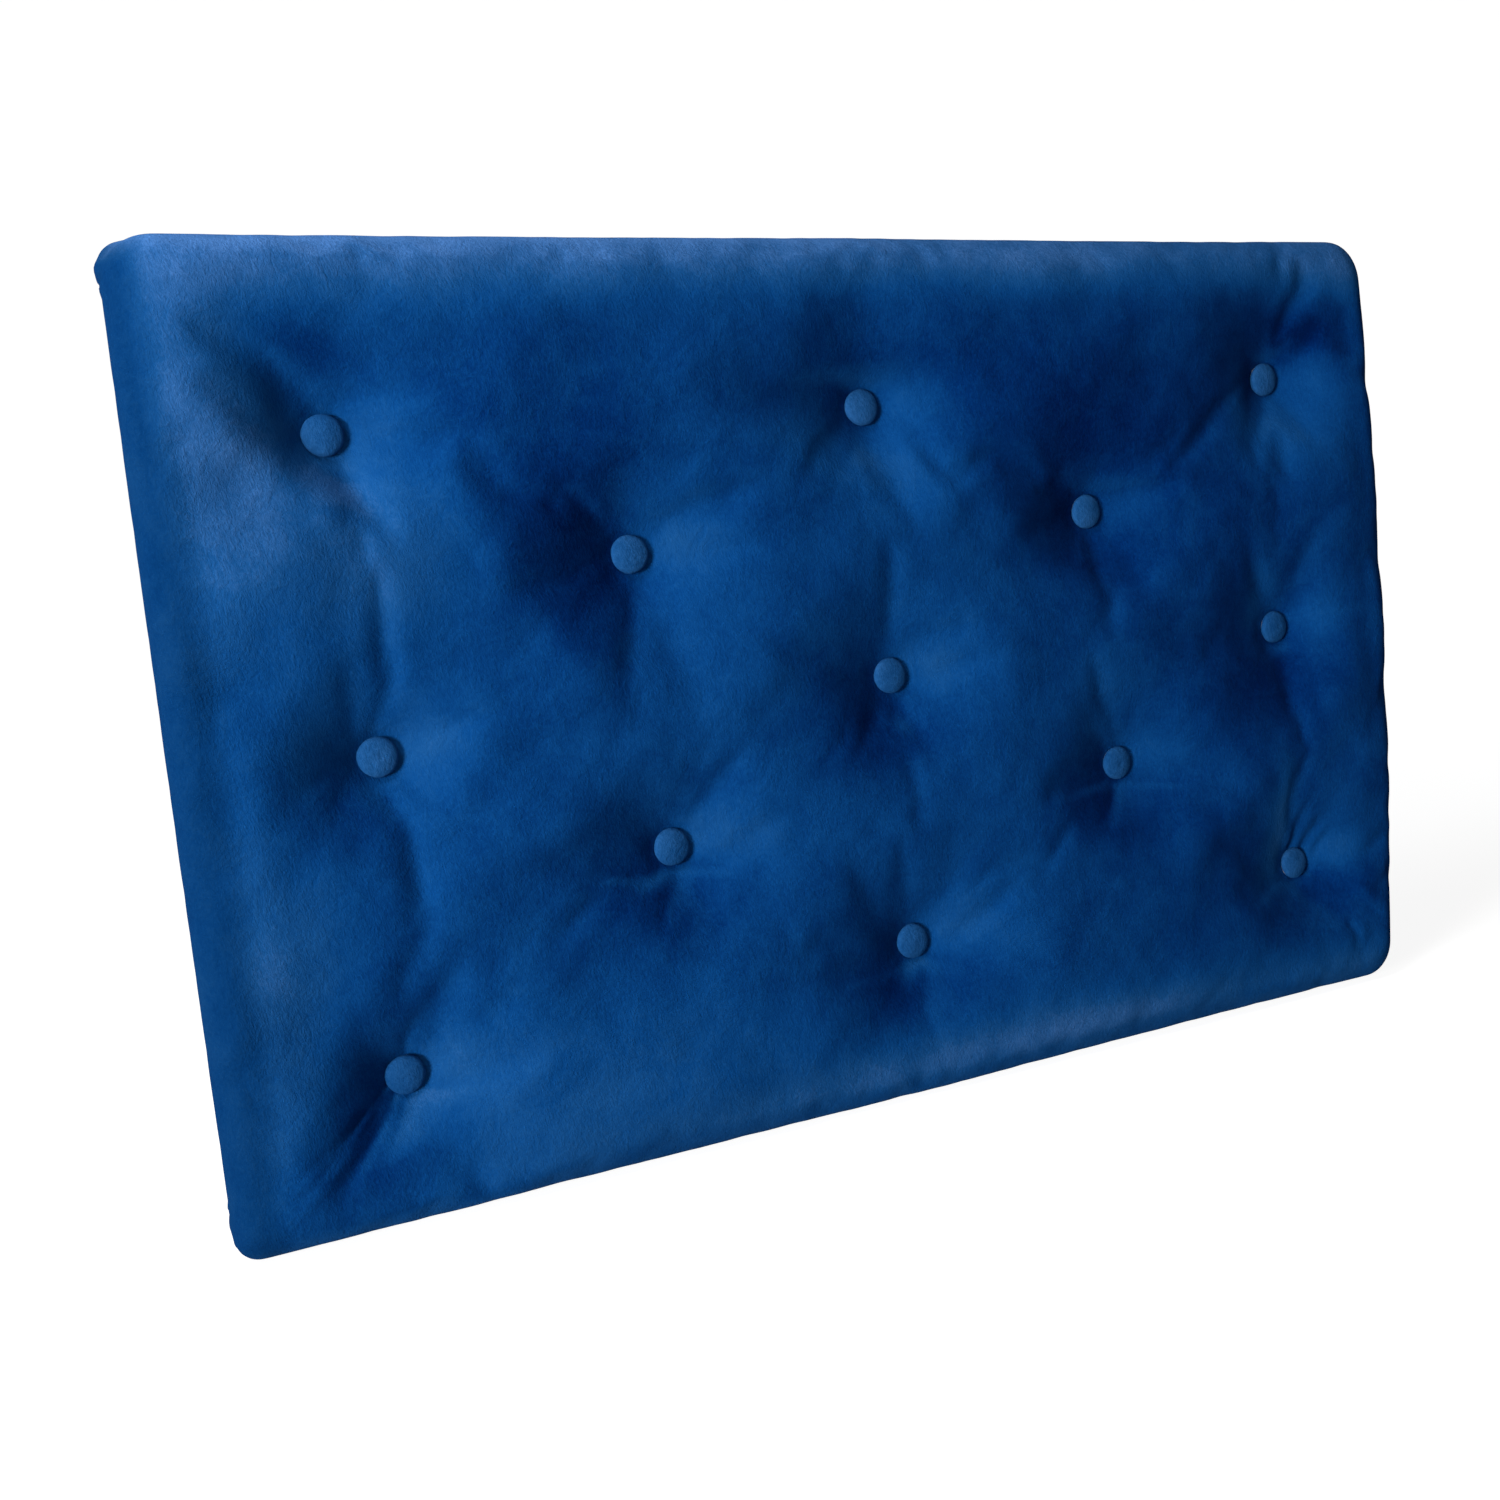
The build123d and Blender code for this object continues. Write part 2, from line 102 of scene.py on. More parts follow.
camera_data = bpy.data.cameras.new("photo_camera")
camera_data.sensor_width, camera_data.lens = sensor_width, camera_lens
camera = added("photo_camera", camera_data)
camera.location = camera_place
camera.rotation_mode = "QUATERNION"
camera_turn = Quaternion((0, 0, 1), math.radians(camera_roll))
camera.rotation_quaternion = turned_towards(camera_place, camera_aim) @ camera_turn
bpy.context.scene.camera = camera
print("camera at", camera_place)

# %% [markdown]
# ## A small language for shaders
# A finish is a graph of nodes. Written node by node it is long and hard to read, so one small class
# wraps a socket: an expression on it such as `1 - mask * 0.5` adds its Math nodes, and every other node
# comes from one method.

# %% Sockets as values


class Flow:
    """A socket of a node tree that can be used in Python expressions."""

    def __init__(self, tree, socket=None):
        self.tree = tree
        self.socket = socket

    def node(self, kind, settings=None, sockets=None, out=0):
        """Add a node: its settings first, then the values or links of its sockets."""
        made = self.tree.nodes.new(kind)
        for name, value in (settings or {}).items():
            if name == "stops":
                ramp = made.color_ramp
                while len(ramp.elements) < len(value):
                    ramp.elements.new(1)
                for element, (position, colour) in zip(ramp.elements, value):
                    element.position = position
                    element.color = (*colour, 1)
            else:
                setattr(made, name, value)
        for key, value in (sockets or {}).items():
            if isinstance(value, Flow):
                self.tree.links.new(value.socket, made.inputs[key])
            else:
                made.inputs[key].default_value = value
        return Flow(self.tree, made.outputs[out])

    def maths(self, operation, first, second=0.0):
        return self.node("ShaderNodeMath", {"operation": operation}, {0: first, 1: second})

    def __add__(self, other):
        return self.maths("ADD", self, other)

    def __radd__(self, other):
        return self.maths("ADD", other, self)

    def __sub__(self, other):
        return self.maths("SUBTRACT", self, other)

    def __rsub__(self, other):
        return self.maths("SUBTRACT", other, self)

    def __mul__(self, other):
        return self.maths("MULTIPLY", self, other)

    def __rmul__(self, other):
        return self.maths("MULTIPLY", other, self)

    def ramp(self, low, high, to_low=0.0, to_high=1.0):
        """A smooth step from one value to another."""
        sockets = {"Value": self, "From Min": low, "From Max": high, "To Min": to_low, "To Max": to_high}
        return self.node("ShaderNodeMapRange", {"interpolation_type": "SMOOTHSTEP"}, sockets)

    def tint(self, low, high):
        """A colour between two, by this value."""
        sockets = {0: self, 6: (*low, 1), 7: (*high, 1)}
        return self.node("ShaderNodeMix", {"data_type": "RGBA"}, sockets, out=2)

    def noise(self, place, scale, detail=2.0, roughness=0.5, distortion=0.0):
        return self.node("ShaderNodeTexNoise", {}, {"Vector": place, "Scale": scale, "Detail": detail,
                                                   "Roughness": roughness, "Distortion": distortion})

    def turned(self, place, scale=(1, 1, 1), turn=(0, 0, 0), shift=(0, 0, 0)):
        """Coordinates that are turned, then stretched and shifted."""
        turned = self.node("ShaderNodeMapping", {}, {"Vector": place, "Rotation": turn})
        return self.node("ShaderNodeMapping", {}, {"Vector": turned, "Scale": scale, "Location": shift})

    def bump(self, height, strength, distance, normal=None):
        sockets = {"Height": height, "Strength": strength, "Distance": distance}
        if normal is not None:
            sockets["Normal"] = normal
        return self.node("ShaderNodeBump", {}, sockets)


finishes = {}


def new_finish(name, **uniform):
    """A material with one Principled shader, and the flow to build its pattern with."""
    material = bpy.data.materials.new(name)
    material.use_nodes = True
    tree = material.node_tree
    shader = tree.nodes["Principled BSDF"]
    for socket, value in uniform.items():
        shader.inputs[socket.replace("_", " ").title().replace("Ior", "IOR")].default_value = value
    flow = Flow(tree)
    place = flow.node("ShaderNodeTexCoord", out=3)
    finishes[name] = material

    def feed(socket, value):
        tree.links.new(value.socket, shader.inputs[socket])

    return flow, place, feed


# %% [markdown]
# ## Floor, backdrop and light
# The photograph is cut out on white, with no floor in it. Here a pale floor carries the panel's shadow,
# and both it and the world show white to the camera through the Light Path node, so that no extra light
# falls on the panel to make the background bright.

# %% Floor and world
floor_mesh = bpy.data.meshes.new("floor")
floor_mesh.from_pydata([(-9, -9, 0), (9, -9, 0), (9, 9, 0), (-9, 9, 0)], [], [(0, 1, 2, 3)])
floor = added("floor", floor_mesh)


def seen_directly(flow):
    """One for rays from the camera, off a gloss or through glass, and zero for the light's own way."""
    path = flow.tree.nodes.new("ShaderNodeLightPath")
    rays = [Flow(flow.tree, path.outputs[name]) for name in
            ("Is Camera Ray", "Is Glossy Ray", "Is Transmission Ray")]
    return flow.maths("MAXIMUM", flow.maths("MAXIMUM", rays[0], rays[1]), rays[2])


floor_look = bpy.data.materials.new("floor")
floor_look.use_nodes = True
floor_tree = floor_look.node_tree
floor_tree.nodes.clear()
flow = Flow(floor_tree)
floor_paint = flow.node("ShaderNodeBsdfDiffuse", {}, {"Color": (0.45, 0.45, 0.45, 1)})
floor_spot = flow.node("ShaderNodeTexCoord", out=3)
floor_far = flow.node("ShaderNodeVectorMath", {"operation": "LENGTH"}, {0: floor_spot}, out=1).ramp(0.7, 3.0)
floor_light = seen_directly(flow) * (floor_far * 0.12 + 0.88)
floor_glow = flow.node("ShaderNodeEmission", {}, {"Color": (1, 1, 1, 1), "Strength": floor_light})
floor_sum = flow.node("ShaderNodeAddShader", {}, {0: floor_paint, 1: floor_glow})
floor_out = floor_tree.nodes.new("ShaderNodeOutputMaterial")
floor_tree.links.new(floor_sum.socket, floor_out.inputs["Surface"])
floor_mesh.materials.append(floor_look)

world = bpy.data.worlds.new("studio")
bpy.context.scene.world = world
world.use_nodes = True
world_shader = world.node_tree.nodes["Background"]
world_shader.inputs["Color"].default_value = (1, 1, 1, 1)
flow = Flow(world.node_tree)
world_light = seen_directly(flow) * 0.95 + 0.07
world.node_tree.links.new(world_light.socket, world_shader.inputs["Strength"])
bpy.context.scene.view_settings.view_transform = "Standard"
print("floor and world made")

# %% Lamps


def lamp(name, place, aim, size, power, colour=(1, 1, 1)):
    """A square soft box at a place, turned towards a point."""
    data = bpy.data.lights.new(name, "AREA")
    data.size = size
    data.energy = power
    data.color = colour
    made = added(name, data)
    made.location = place
    made.rotation_mode = "QUATERNION"
    made.rotation_quaternion = turned_towards(place, aim)


lamp("key_window", (-3.3, -1.65, 0.45), (-0.05, 0, 0.3), 0.9, 182, (1.0, 0.98, 0.95))
lamp("top_light", (-1.3, -0.55, 1.65), (-0.3, 0, 0.6), 0.7, 27, (0.95, 0.98, 1.0))
lamp("front_fill", (0.0, -3.0, 1.0), (0, 0, 0.3), 1.4, 10)
print("three lamps")

# %% [markdown]
# ## The velvet
# Velvet is a short dense pile. It is dark where one looks straight into it and pale where it is seen
# along its tips, and a hand leaves it brushed in patches. A sheen alone can't show that, so the colour
# follows a ramp of blues with painted light and painted shade in it: noise gives the grain, the streaks
# and the patches, and two values stored on the cover's points give how the pile lies together with
# painted light and shade by slope and by face, and a painted shade that darkens the left side.

# %% Velvet


def velvet_finish(name, stops, seed, lie_and_light_share):
    """Velvet in a ramp of blues. A stored attribute gives how the pile lies, with painted light and shade in
    it: 0 for darkest, 1 for palest; another is a painted shade that scales the colour.
    """
    flow, place, feed = new_finish(name, roughness=0.9, sheen_weight=0.07, sheen_roughness=0.45,
                                   sheen_tint=(0.10, 0.38, 1.0, 1), specular_ior_level=0.0)
    shifted = flow.turned(place, shift=(seed, seed, 0))
    patches = flow.noise(shifted, 10.0, 5.0, 0.68, 0.8).ramp(0.42, 0.60)
    clouds = flow.noise(shifted, 34.0, 5.0, 0.70, 0.4).ramp(0.34, 0.68)
    streak_place = flow.turned(shifted, (900, 420, 210), (0, math.radians(11), 0))
    streaks = flow.noise(streak_place, 1.0, 3.0, 0.65, 0.6).ramp(0.32, 0.70)
    grain = flow.noise(shifted, 420.0, 3.0, 0.72).ramp(0.32, 0.70)
    pile = flow.noise(shifted, 1500.0, 2.0, 0.6).ramp(0.25, 0.75)
    tone = patches * 0.20 + clouds * 0.24 + streaks * 0.16 + grain * 0.26 + pile * 0.14
    # the stored attribute brings the pile's lie, with painted light and painted shade, into the tone
    if lie_and_light_share:
        nap = flow.node("ShaderNodeAttribute", {"attribute_name": "nap"}, out=2)
        tone = (tone - 0.5) * (1 - lie_and_light_share) + nap
    colour = flow.node("ShaderNodeValToRGB", {"stops": stops}, {0: tone})
    # a stored painted shade scales the colour down
    if lie_and_light_share:
        shade = flow.node("ShaderNodeAttribute", {"attribute_name": "shade"}, out=2)
        colour = flow.node("ShaderNodeVectorMath", {"operation": "SCALE"}, {0: colour, "Scale": shade})
    feed("Base Color", colour)
    feed("Roughness", 0.92 - patches * 0.08)
    relief = flow.bump(grain * 0.7 + streaks * 0.6 + pile * 0.3, 0.42, 0.0006)
    relief = flow.bump(clouds, 0.20, 0.0024, relief)
    feed("Normal", relief)


# the velvet's colours, from its darkest to its palest, which also give the painted shade and painted light:
# the share, then red, green and blue
blues = [(0.00, (0.0001, 0.008, 0.060)), (0.18, (0.0005, 0.020, 0.106)), (0.42, (0.0022, 0.043, 0.168)),
         (0.60, (0.0062, 0.058, 0.192)), (0.78, (0.0190, 0.083, 0.238)), (1.00, (0.0540, 0.150, 0.380))]
button_blues = [(0.10, (0.0030, 0.040, 0.145)), (0.50, (0.0090, 0.063, 0.195)),
                (0.90, (0.0180, 0.086, 0.245))]
velvet_finish("navy_velvet", blues, 0.0, 0.66)
velvet_finish("button_velvet", button_blues, 3.7, 0.0)
print("velvet for the cover and for the buttons")

# %% [markdown]
# ## The padded form
# The cover's shape follows rules, so it is worked out in numbers first. Its outline at each depth is a
# rectangle with soft sides and round corners, and the levels run from the crest, over the shoulder, down
# the side and round the back edge to the velvet's cut hem on the wall side.
# A grid fills the crest's outline, and rings of the same number of points follow it outwards, so the
# whole skin is made of quads.

# %% Sizes, as in the CAD, in millimetres
half_width, half_height = 465.0, 300.0
# the panel's lower edge stands a little off the floor, and x, z below are counted from its middle
base_line = 3.0
middle_height = base_line + half_height
panel_depth = 66.0
shoulder, back_edge = 28.0, 6.0
# the padded roll along the front's edge: its width, its height over the shoulder and how full it is
roll_width, roll_height, roll_power = 60.0, 34.5, 2.3
corner, back_corner = 28.0, 12.0
# how round each corner is: lower right, upper right, upper left, lower left
corner_shares = (0.9, 1.0, 1.0, 0.5)
left_swell, right_swell, top_swell, bottom_swell, edge_swell = 1.0, 10.0, 1.0, 2.0, 1.5
# from the wall plane: the velvet's return on the back, and the board's front
velvet_gap, board_front = 1.0, 25.2
hem_inset = 46.0
tuft_depth, button_radius = 28.0, 13.0
across_cells, up_cells, corner_cells = ((160, 104, 4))

# each tuft's place, as shares of the half width and the half height. The buttons' centres in the
# photograph were carried back through a matched camera, and these are the results to three digits.
tuft_shares = [
    (-0.766, 0.618), (0.018, 0.626), (0.795, 0.652), (-0.369, 0.335), (0.411, 0.347),
    (-0.747, -0.031), (0.028, 0.002), (0.788, 0.002), (-0.351, -0.316), (0.438, -0.292),
    (-0.762, -0.696), (0.028, -0.640), (0.803, -0.645),
]
tufts = np.array([(half_width * x, half_height * z) for x, z in tuft_shares])


def tuft_distance(x, z):
    """How far points are from the nearest tuft."""
    return np.min([np.hypot(x - tuft_x, z - tuft_z) for tuft_x, tuft_z in tufts], axis=0)


print(len(tufts), "tufts")

# %% Outline of one level


def level_outline(out, radius, full):
    """Points round the panel at one level: four sides, each from one corner's middle to the next."""
    wide = half_width + out + edge_swell * full
    high = half_height + out + edge_swell * full
    signs = ((1, -1), (1, 1), (-1, 1), (-1, -1))
    rounds = [radius * share for share in corner_shares]
    centres = [(sx * (wide - r), sz * (high - r)) for (sx, sz), r in zip(signs, rounds)]

    def along(count):
        return (np.arange(count) + 1) / count

    def half_corner(number, start_angle):
        angles = start_angle + np.linspace(0, math.radians(45), corner_cells + 1)
        (x, z), r = centres[number], rounds[number]
        return np.stack([x + r * np.cos(angles), z + r * np.sin(angles)], 1)

    sides = []
    for index in range(4):
        cells = (up_cells if index % 2 == 0 else across_cells) - 2 * corner_cells
        angle = math.radians(90 * index)
        first = half_corner(index, angle - math.radians(45))
        last = half_corner((index + 1) % 4, angle)
        share = along(cells)[:, None]
        edge = first[-1] + (last[0] - first[-1]) * share
        swell = (right_swell, top_swell, left_swell, bottom_swell)[index] * full
        edge += np.array([math.cos(angle), math.sin(angle)]) * swell * (1 - (2 * share - 1) ** 2)
        sides.append(np.concatenate([first, edge, last[1:]]))
    return sides


def ring_of(sides):
    """The four sides as one closed ring."""
    return np.concatenate([side[:-1] for side in sides])


def fill_outline(sides):
    """A grid of points inside an outline, blended from its four sides."""
    right, top, left, bottom = sides[0], sides[1][::-1], sides[2][::-1], sides[3]
    u = np.linspace(0, 1, across_cells + 1)[None, :, None]
    v = np.linspace(0, 1, up_cells + 1)[:, None, None]
    ruled = (1 - v) * bottom[None] + v * top[None] + (1 - u) * left[:, None] + u * right[:, None]
    corners = ((1 - u) * (1 - v) * bottom[0] + u * (1 - v) * bottom[-1] + (1 - u) * v * top[0]
               + u * v * top[-1])
    return ruled - corners


def roll_depth(inset):
    """Depth of the untufted front at a distance in from the edge: a broad, full roll."""
    share = 1 - np.clip((roll_width - inset) / roll_width, 0, 1) ** roll_power
    return panel_depth - shoulder + roll_height * share ** (1 / roll_power)


def edge_inset(x, z):
    """Distance in from the panel's outline, with the corners rounded off."""
    side_swell = np.where(x > 0, right_swell, left_swell) * (1 - (z / half_height) ** 2)
    wide = half_width + edge_swell + side_swell
    high = half_height + edge_swell + np.where(z > 0, top_swell, bottom_swell) * (1 - (x / half_width) ** 2)
    right = np.where(z > 0, corner_shares[1], corner_shares[0])
    left = np.where(z > 0, corner_shares[2], corner_shares[3])
    blend = corner * np.where(x > 0, right, left) * (1 - math.sqrt(0.5)) / math.log(2)
    return -blend * np.log(np.exp(-(wide - np.abs(x)) / blend) + np.exp(-(high - np.abs(z)) / blend))


# the rings over the roll, then how many levels go down the side, round the back edge and along the back
crest_insets = (14.0, 10.5, 7.5, 5.0, 3.0, 1.5, 0.5, 0.0)
side_levels, edge_levels, return_levels = 5, 4, 5
smallest_corner = 1.0


def cover_levels():
    """Depth, reach, corner and fullness of every ring, from the grid's border to the hem."""
    quarter = math.pi / 2
    levels = [(float(roll_depth(inset)), -inset, corner, 1.0) for inset in crest_insets]
    low, high = velvet_gap + back_edge, panel_depth - shoulder
    for share in np.linspace(1, 0, side_levels + 1)[1:]:
        depth = low + (high - low) * share
        widening = math.sin(max(depth - board_front, 0) / (high - board_front) * quarter)
        radius = back_corner + (corner - back_corner) * widening
        levels.append((depth, 0.0, radius, math.sin(share * quarter)))
    for angle in np.linspace(quarter, 0, edge_levels + 1)[1:]:
        reach = back_edge * math.sin(angle) - back_edge
        levels.append((low - back_edge * math.cos(angle), reach, back_corner + reach, 0.0))
    for inset in np.linspace(back_edge, hem_inset, return_levels + 1)[1:]:
        levels.append((velvet_gap, -inset, max(back_corner - inset, smallest_corner), 0.0))
    return levels


levels = cover_levels()
outlines = [level_outline(*level[1:]) for level in levels]
print(len(levels), "levels,", len(ring_of(outlines[0])), "points round each")

# %% [markdown]
# ## Where the tufts pull the padding down
# A button presses a cone into the foam, and the velvet, which is stretched, bridges the rest. A
# stretched skin on a springy bed settles in a known curve, the Bessel function K0: very steep at the
# button and flat farther out. The thirteen curves are added and weighted so that each seat is reached.

# %% Tuft field
# how far each part of a tuft's pull reaches, and its share: the skin's stretch, the foam with a broad
# slope and a cone in it, and the steep rim at the button. They were chosen with the help of a fit of a
# simple shading model to the photograph.
skin_reach, foam_reach, skin_share = 42.0, 70.0, 0.08
cone_reach, cone_share = 40.0, 0.36
rim_reach, rim_share = 6.0, 0.13
seat_depth = panel_depth - tuft_depth

# K0 worked out from its integral, from the button's rim outwards
bessel_at = np.linspace(button_radius / skin_reach, 16, 900)
steps = np.linspace(0, 9, 300)
bessel = np.array([np.trapz(np.exp(-x * np.cosh(steps)), steps) for x in bessel_at])


def settle(distance):
    """The skin's drop at distances from a button, as a share of the drop at its rim."""
    away = np.maximum(distance, button_radius + 0.3)
    skin = np.interp(away / skin_reach, bessel_at, bessel / bessel[0])
    off_rim = away - button_radius
    slope, cone = np.exp(-off_rim / foam_reach), np.exp(-(off_rim / cone_reach) ** 2)
    foam = (1 - cone_share) * slope + cone_share * cone
    rim = np.exp(-off_rim / rim_reach)
    return rim_share * rim + (1 - rim_share) * (skin_share * skin + (1 - skin_share) * foam)


between = np.linalg.norm(tufts[:, None] - tufts[None], axis=2)
pull_shares = settle(between)
seat_drops = roll_depth(edge_inset(tufts[:, 0], tufts[:, 1])) - seat_depth
tuft_weights = np.linalg.solve(pull_shares, seat_drops)


def tuft_drop(x, z):
    """How deep the skin lies below the untufted form."""
    drop = np.zeros_like(x)
    for (tuft_x, tuft_z), weight in zip(tufts, tuft_weights):
        drop += weight * settle(np.hypot(x - tuft_x, z - tuft_z))
    return drop


print("weights", np.round(tuft_weights, 1))

# %% [markdown]
# ## Valleys, ridges and swells
# The velvet is one flat cloth, so it can't follow every cone: it bridges from button to button in
# shallow valleys and stands up in ridges between them. Each is a soft stroke with its own depth and
# width, and slow waves keep the rest from looking machined. In the table, the depths of many strokes
# and the places of some follow a fit of a simple shading model to the photograph, rounded.

# %% Strokes
# from x, z to x, z, then depth (a ridge is negative), width at the start and at the end
strokes = [
    # valleys from button to button
    (-336, 96, -340, 6, 2.0, 8, 8), (-334, -40, -330, -190, 1.0, 9, 12), (11, 88, 13, 14, 2.0, 8, 8),
    (12, -20, 14, -90, 1.5, 14, 16), (368, 170, 366, 30, 1.0, 14, 14),
    (365, -20, 372, -170, 1.0, 14, 14), (-176, 150, -174, 108, 1.5, 12, 10),
    (190, 80, 198, 20, 1.5, 16, 16),
    # the wedge at the upper left button
    (-344, 160, -404, 240, 4.0, 15, 24), (-352, 168, -334, 136, 4.0, 10, 9),
    (-362, 140, -432, 212, -5.0, 13, 17), (-375, 180, -430, 250, -2.0, 13, 13),
    (-352, 136, -300, 118, -1.0, 16, 22),
    # hollows that run down from the buttons
    (-170, 88, -150, 36, 5.0, 14, 20), (-176, 90, -226, 66, 1.5, 20, 30),
    (194, 92, 232, 56, 4.0, 16, 20), (-345, -18, -334, -64, 3.0, 12, 16),
    (-350, -16, -392, -52, 1.0, 18, 26), (14, -10, 34, -46, 3.5, 14, 18),
    (-160, -108, -148, -146, 3.0, 13, 18), (206, -96, 234, -122, 2.5, 14, 18),
    (10, -198, -14, -240, 1.5, 18, 24), (366, 202, 315, 232, 2.0, 16, 26),
    (372, 200, 420, 232, 1.5, 9, 12),
    # the crests of the cushions between the buttons
    (-285, 150, -200, 0, -2.5, 14, 14), (-170, 15, -260, 85, -2.5, 18, 18),
    (-120, -10, -30, 80, -3.0, 20, 20), (60, 120, 130, 160, -4.5, 22, 22),
    (4, 142, 108, 172, -2.0, 13, 14), (-6, 146, -104, 170, -1.5, 14, 15),
    (-125, 220, -15, 235, -3.0, 20, 20), (100, 110, 190, 40, -2.5, 14, 14),
    (215, 25, 320, 110, -2.0, 14, 14), (255, -160, 355, -105, -3.0, 20, 20),
    (60, -60, 150, -10, 1.0, 26, 26),
    # broad dips
    (-300, 60, -230, -20, 2.0, 24, 24), (-330, -85, -250, -10, 2.0, 16, 16),
    (225, 55, 315, 120, 2.5, 20, 20), (290, 0, 355, 85, 2.0, 20, 20), (25, -230, 90, -145, 1.5, 20, 20),
    (-172, 34, -110, 60, 1.5, 16, 16),
    # the roll along the sides
    (-412, -195, -404, -80, 2.5, 20, 20), (-380, 165, -380, 15, -3.0, 20, 20),
    (-372, -165, -345, -70, -2.0, 13, 13), (-418, 40, -428, 145, 2.0, 20, 20),
    (-400, 190, -415, 295, -2.5, 20, 20), (-430, -270, -390, -170, -2.0, 20, 20),
    (406, -60, 418, 160, -2.5, 20, 20), (395, 100, 480, 160, -2.0, 20, 20),
    (440, -110, 422, -5, -1.5, 20, 20), (465, 200, 400, 290, 4.0, 20, 20),
    (410, -300, 460, -215, 4.0, 18, 18), (385, -230, 480, -230, 2.0, 20, 20),
]


# what a stroke loses in depth on its way, and how far off a seat strokes and waves have all their effect
stroke_fade, seat_free = 0.55, 16.0


def stroke_drop(x, z):
    """The sum of the strokes at some points. Each is shallower towards its end."""
    drop = np.zeros_like(x)
    for x1, z1, x2, z2, depth, wide_1, wide_2 in strokes:
        along = np.array([x2 - x1, z2 - z1])
        share = ((x - x1) * along[0] + (z - z1) * along[1]) / (along @ along)
        nearest = np.clip(share, 0, 1)
        distance = np.hypot(x - x1 - nearest * along[0], z - z1 - nearest * along[1])
        width = wide_1 + (wide_2 - wide_1) * nearest
        drop += depth * (1 - stroke_fade * nearest) * np.exp(-(distance / width) ** 2)
    return drop


def waves(x, z, count, short, long, height, seed):
    """Slow random swells: a sum of plane waves with mixed directions."""
    dice = np.random.default_rng(seed)
    total = np.zeros_like(x)
    for _ in range(count):
        turn, phase = dice.uniform(0, 2 * math.pi, 2)
        pace = 2 * math.pi / dice.uniform(short, long)
        total += np.sin(pace * (x * math.cos(turn) + z * math.sin(turn)) + phase)
    return height * total * math.sqrt(2 / count)


def off_the_seats(x, z):
    """Zero on every button's seat and one a little way out."""
    return eased(np.clip((tuft_distance(x, z) - button_radius) / seat_free, 0, 1))


print(len(strokes), "strokes")

# %% [markdown]
# ## The skin before it is stuffed
# The grid's points are drawn towards the buttons first, because the form is steepest there. Then every
# point goes down by the tufts, the strokes and the waves, and the effect fades over the shoulder.

# %% Skin points
warp_reach = 58.0
# how far in from the edge the tufting has its full effect
tufting_inset = 34.0


def drawn_in(points):
    """Grid points pulled towards the nearest button, to be closer together where the form is steep."""
    moved = points.copy()
    for tuft in tufts:
        away = points - tuft
        distance = np.linalg.norm(away, axis=-1, keepdims=True)
        near = distance < warp_reach
        shrink = np.sqrt(np.maximum(distance, 1e-6) / warp_reach)
        moved = np.where(near, tuft + away * shrink, moved)
    return moved


def skin_point(points, depth, inset):
    """Points at some depth, lowered by the tufting and given to the row frame, in millimetres."""
    x, z = points[..., 0], points[..., 1]
    swells = waves(x, z, count=22, short=55, long=150, height=0.8, seed=11)
    ripples = waves(x, z, count=30, short=18, long=40, height=0.16, seed=12)
    soft = stroke_drop(x, z) + swells + ripples
    drop = tuft_drop(x, z) + soft * off_the_seats(x, z)
    effect = eased(np.clip(inset / tufting_inset, 0, 1))
    depth = np.maximum(depth - drop * effect, np.minimum(depth, seat_depth))
    return np.stack([x, panel_depth / 2 - depth, z + middle_height], -1)


crest_grid = drawn_in(fill_outline(outlines[0]))
crest_inset = edge_inset(crest_grid[..., 0], crest_grid[..., 1])
skin_grid = skin_point(crest_grid, roll_depth(crest_inset), crest_inset)
skin_rings = []
for (depth, reach, *_), sides in zip(levels[1:], outlines[1:]):
    ring = ring_of(sides)
    inset = -reach if depth > panel_depth - shoulder else 0.0
    skin_rings.append(skin_point(ring, np.full(len(ring), depth), np.full(len(ring), inset)))
print("grid", skin_grid.shape, "rings", len(skin_rings))

# %% Mesh of a skin


def grid_border(rows, columns):
    """Indices of a grid's border in the order of the rings: right, top, left, bottom."""
    index = np.arange(rows * columns).reshape(rows, columns)
    return np.concatenate([index[:-1, -1], index[-1, :0:-1], index[:0:-1, 0], index[0, :-1]])


def skin_mesh(name, grid, rings):
    """A grid with rings round it, as one open mesh of quads that face outwards."""
    rows, columns = grid.shape[:2]
    points = [grid.reshape(-1, 3)] + rings
    index = np.arange(rows * columns).reshape(rows, columns)
    quads = [np.stack([index[:-1, :-1], index[:-1, 1:], index[1:, 1:], index[1:, :-1]], -1).reshape(-1, 4)]
    inner, start = grid_border(rows, columns), rows * columns
    for ring in rings:
        outer = start + np.arange(len(ring))
        quads.append(np.stack([inner, outer, np.roll(outer, -1), np.roll(inner, -1)], -1))
        inner, start = outer, start + len(ring)
    mesh = bpy.data.meshes.new(name)
    mesh.from_pydata((np.concatenate(points) * mm).tolist(), [], np.concatenate(quads).tolist())
    shade_smoothly(mesh)
    mesh.update()
    return added(name, mesh)


def coordinates(mesh):
    points = np.empty(len(mesh.vertices) * 3, np.float32)
    mesh.vertices.foreach_get("co", points)
    return points.reshape(-1, 3).astype(float)


def put_coordinates(mesh, points):
    mesh.vertices.foreach_set("co", points.astype(np.float32).ravel())
    mesh.update()


cover = skin_mesh("velvet_cover_sewn", skin_grid, skin_rings)
normal = cover.data.polygons[0].normal
print("first face looks along", [round(v, 2) for v in normal], len(cover.data.vertices), "points")

# %% [markdown]
# ## Stuffing it
# A real cover takes its last shape from the pressure of what is inside. Blender's Cloth does that: the
# buttons' seats and the hem are pinned, gravity is off, and a small pressure swells the skin. How far a
# point may move is capped, so that the panel keeps its size.

# %% Cloth
swell_cap = 2.2 * mm
# how much of a movement along the wall is kept at the panel's outline, and from where all of it is
edge_keep, edge_free = 0.12, 55.0
cloth_frames = 20


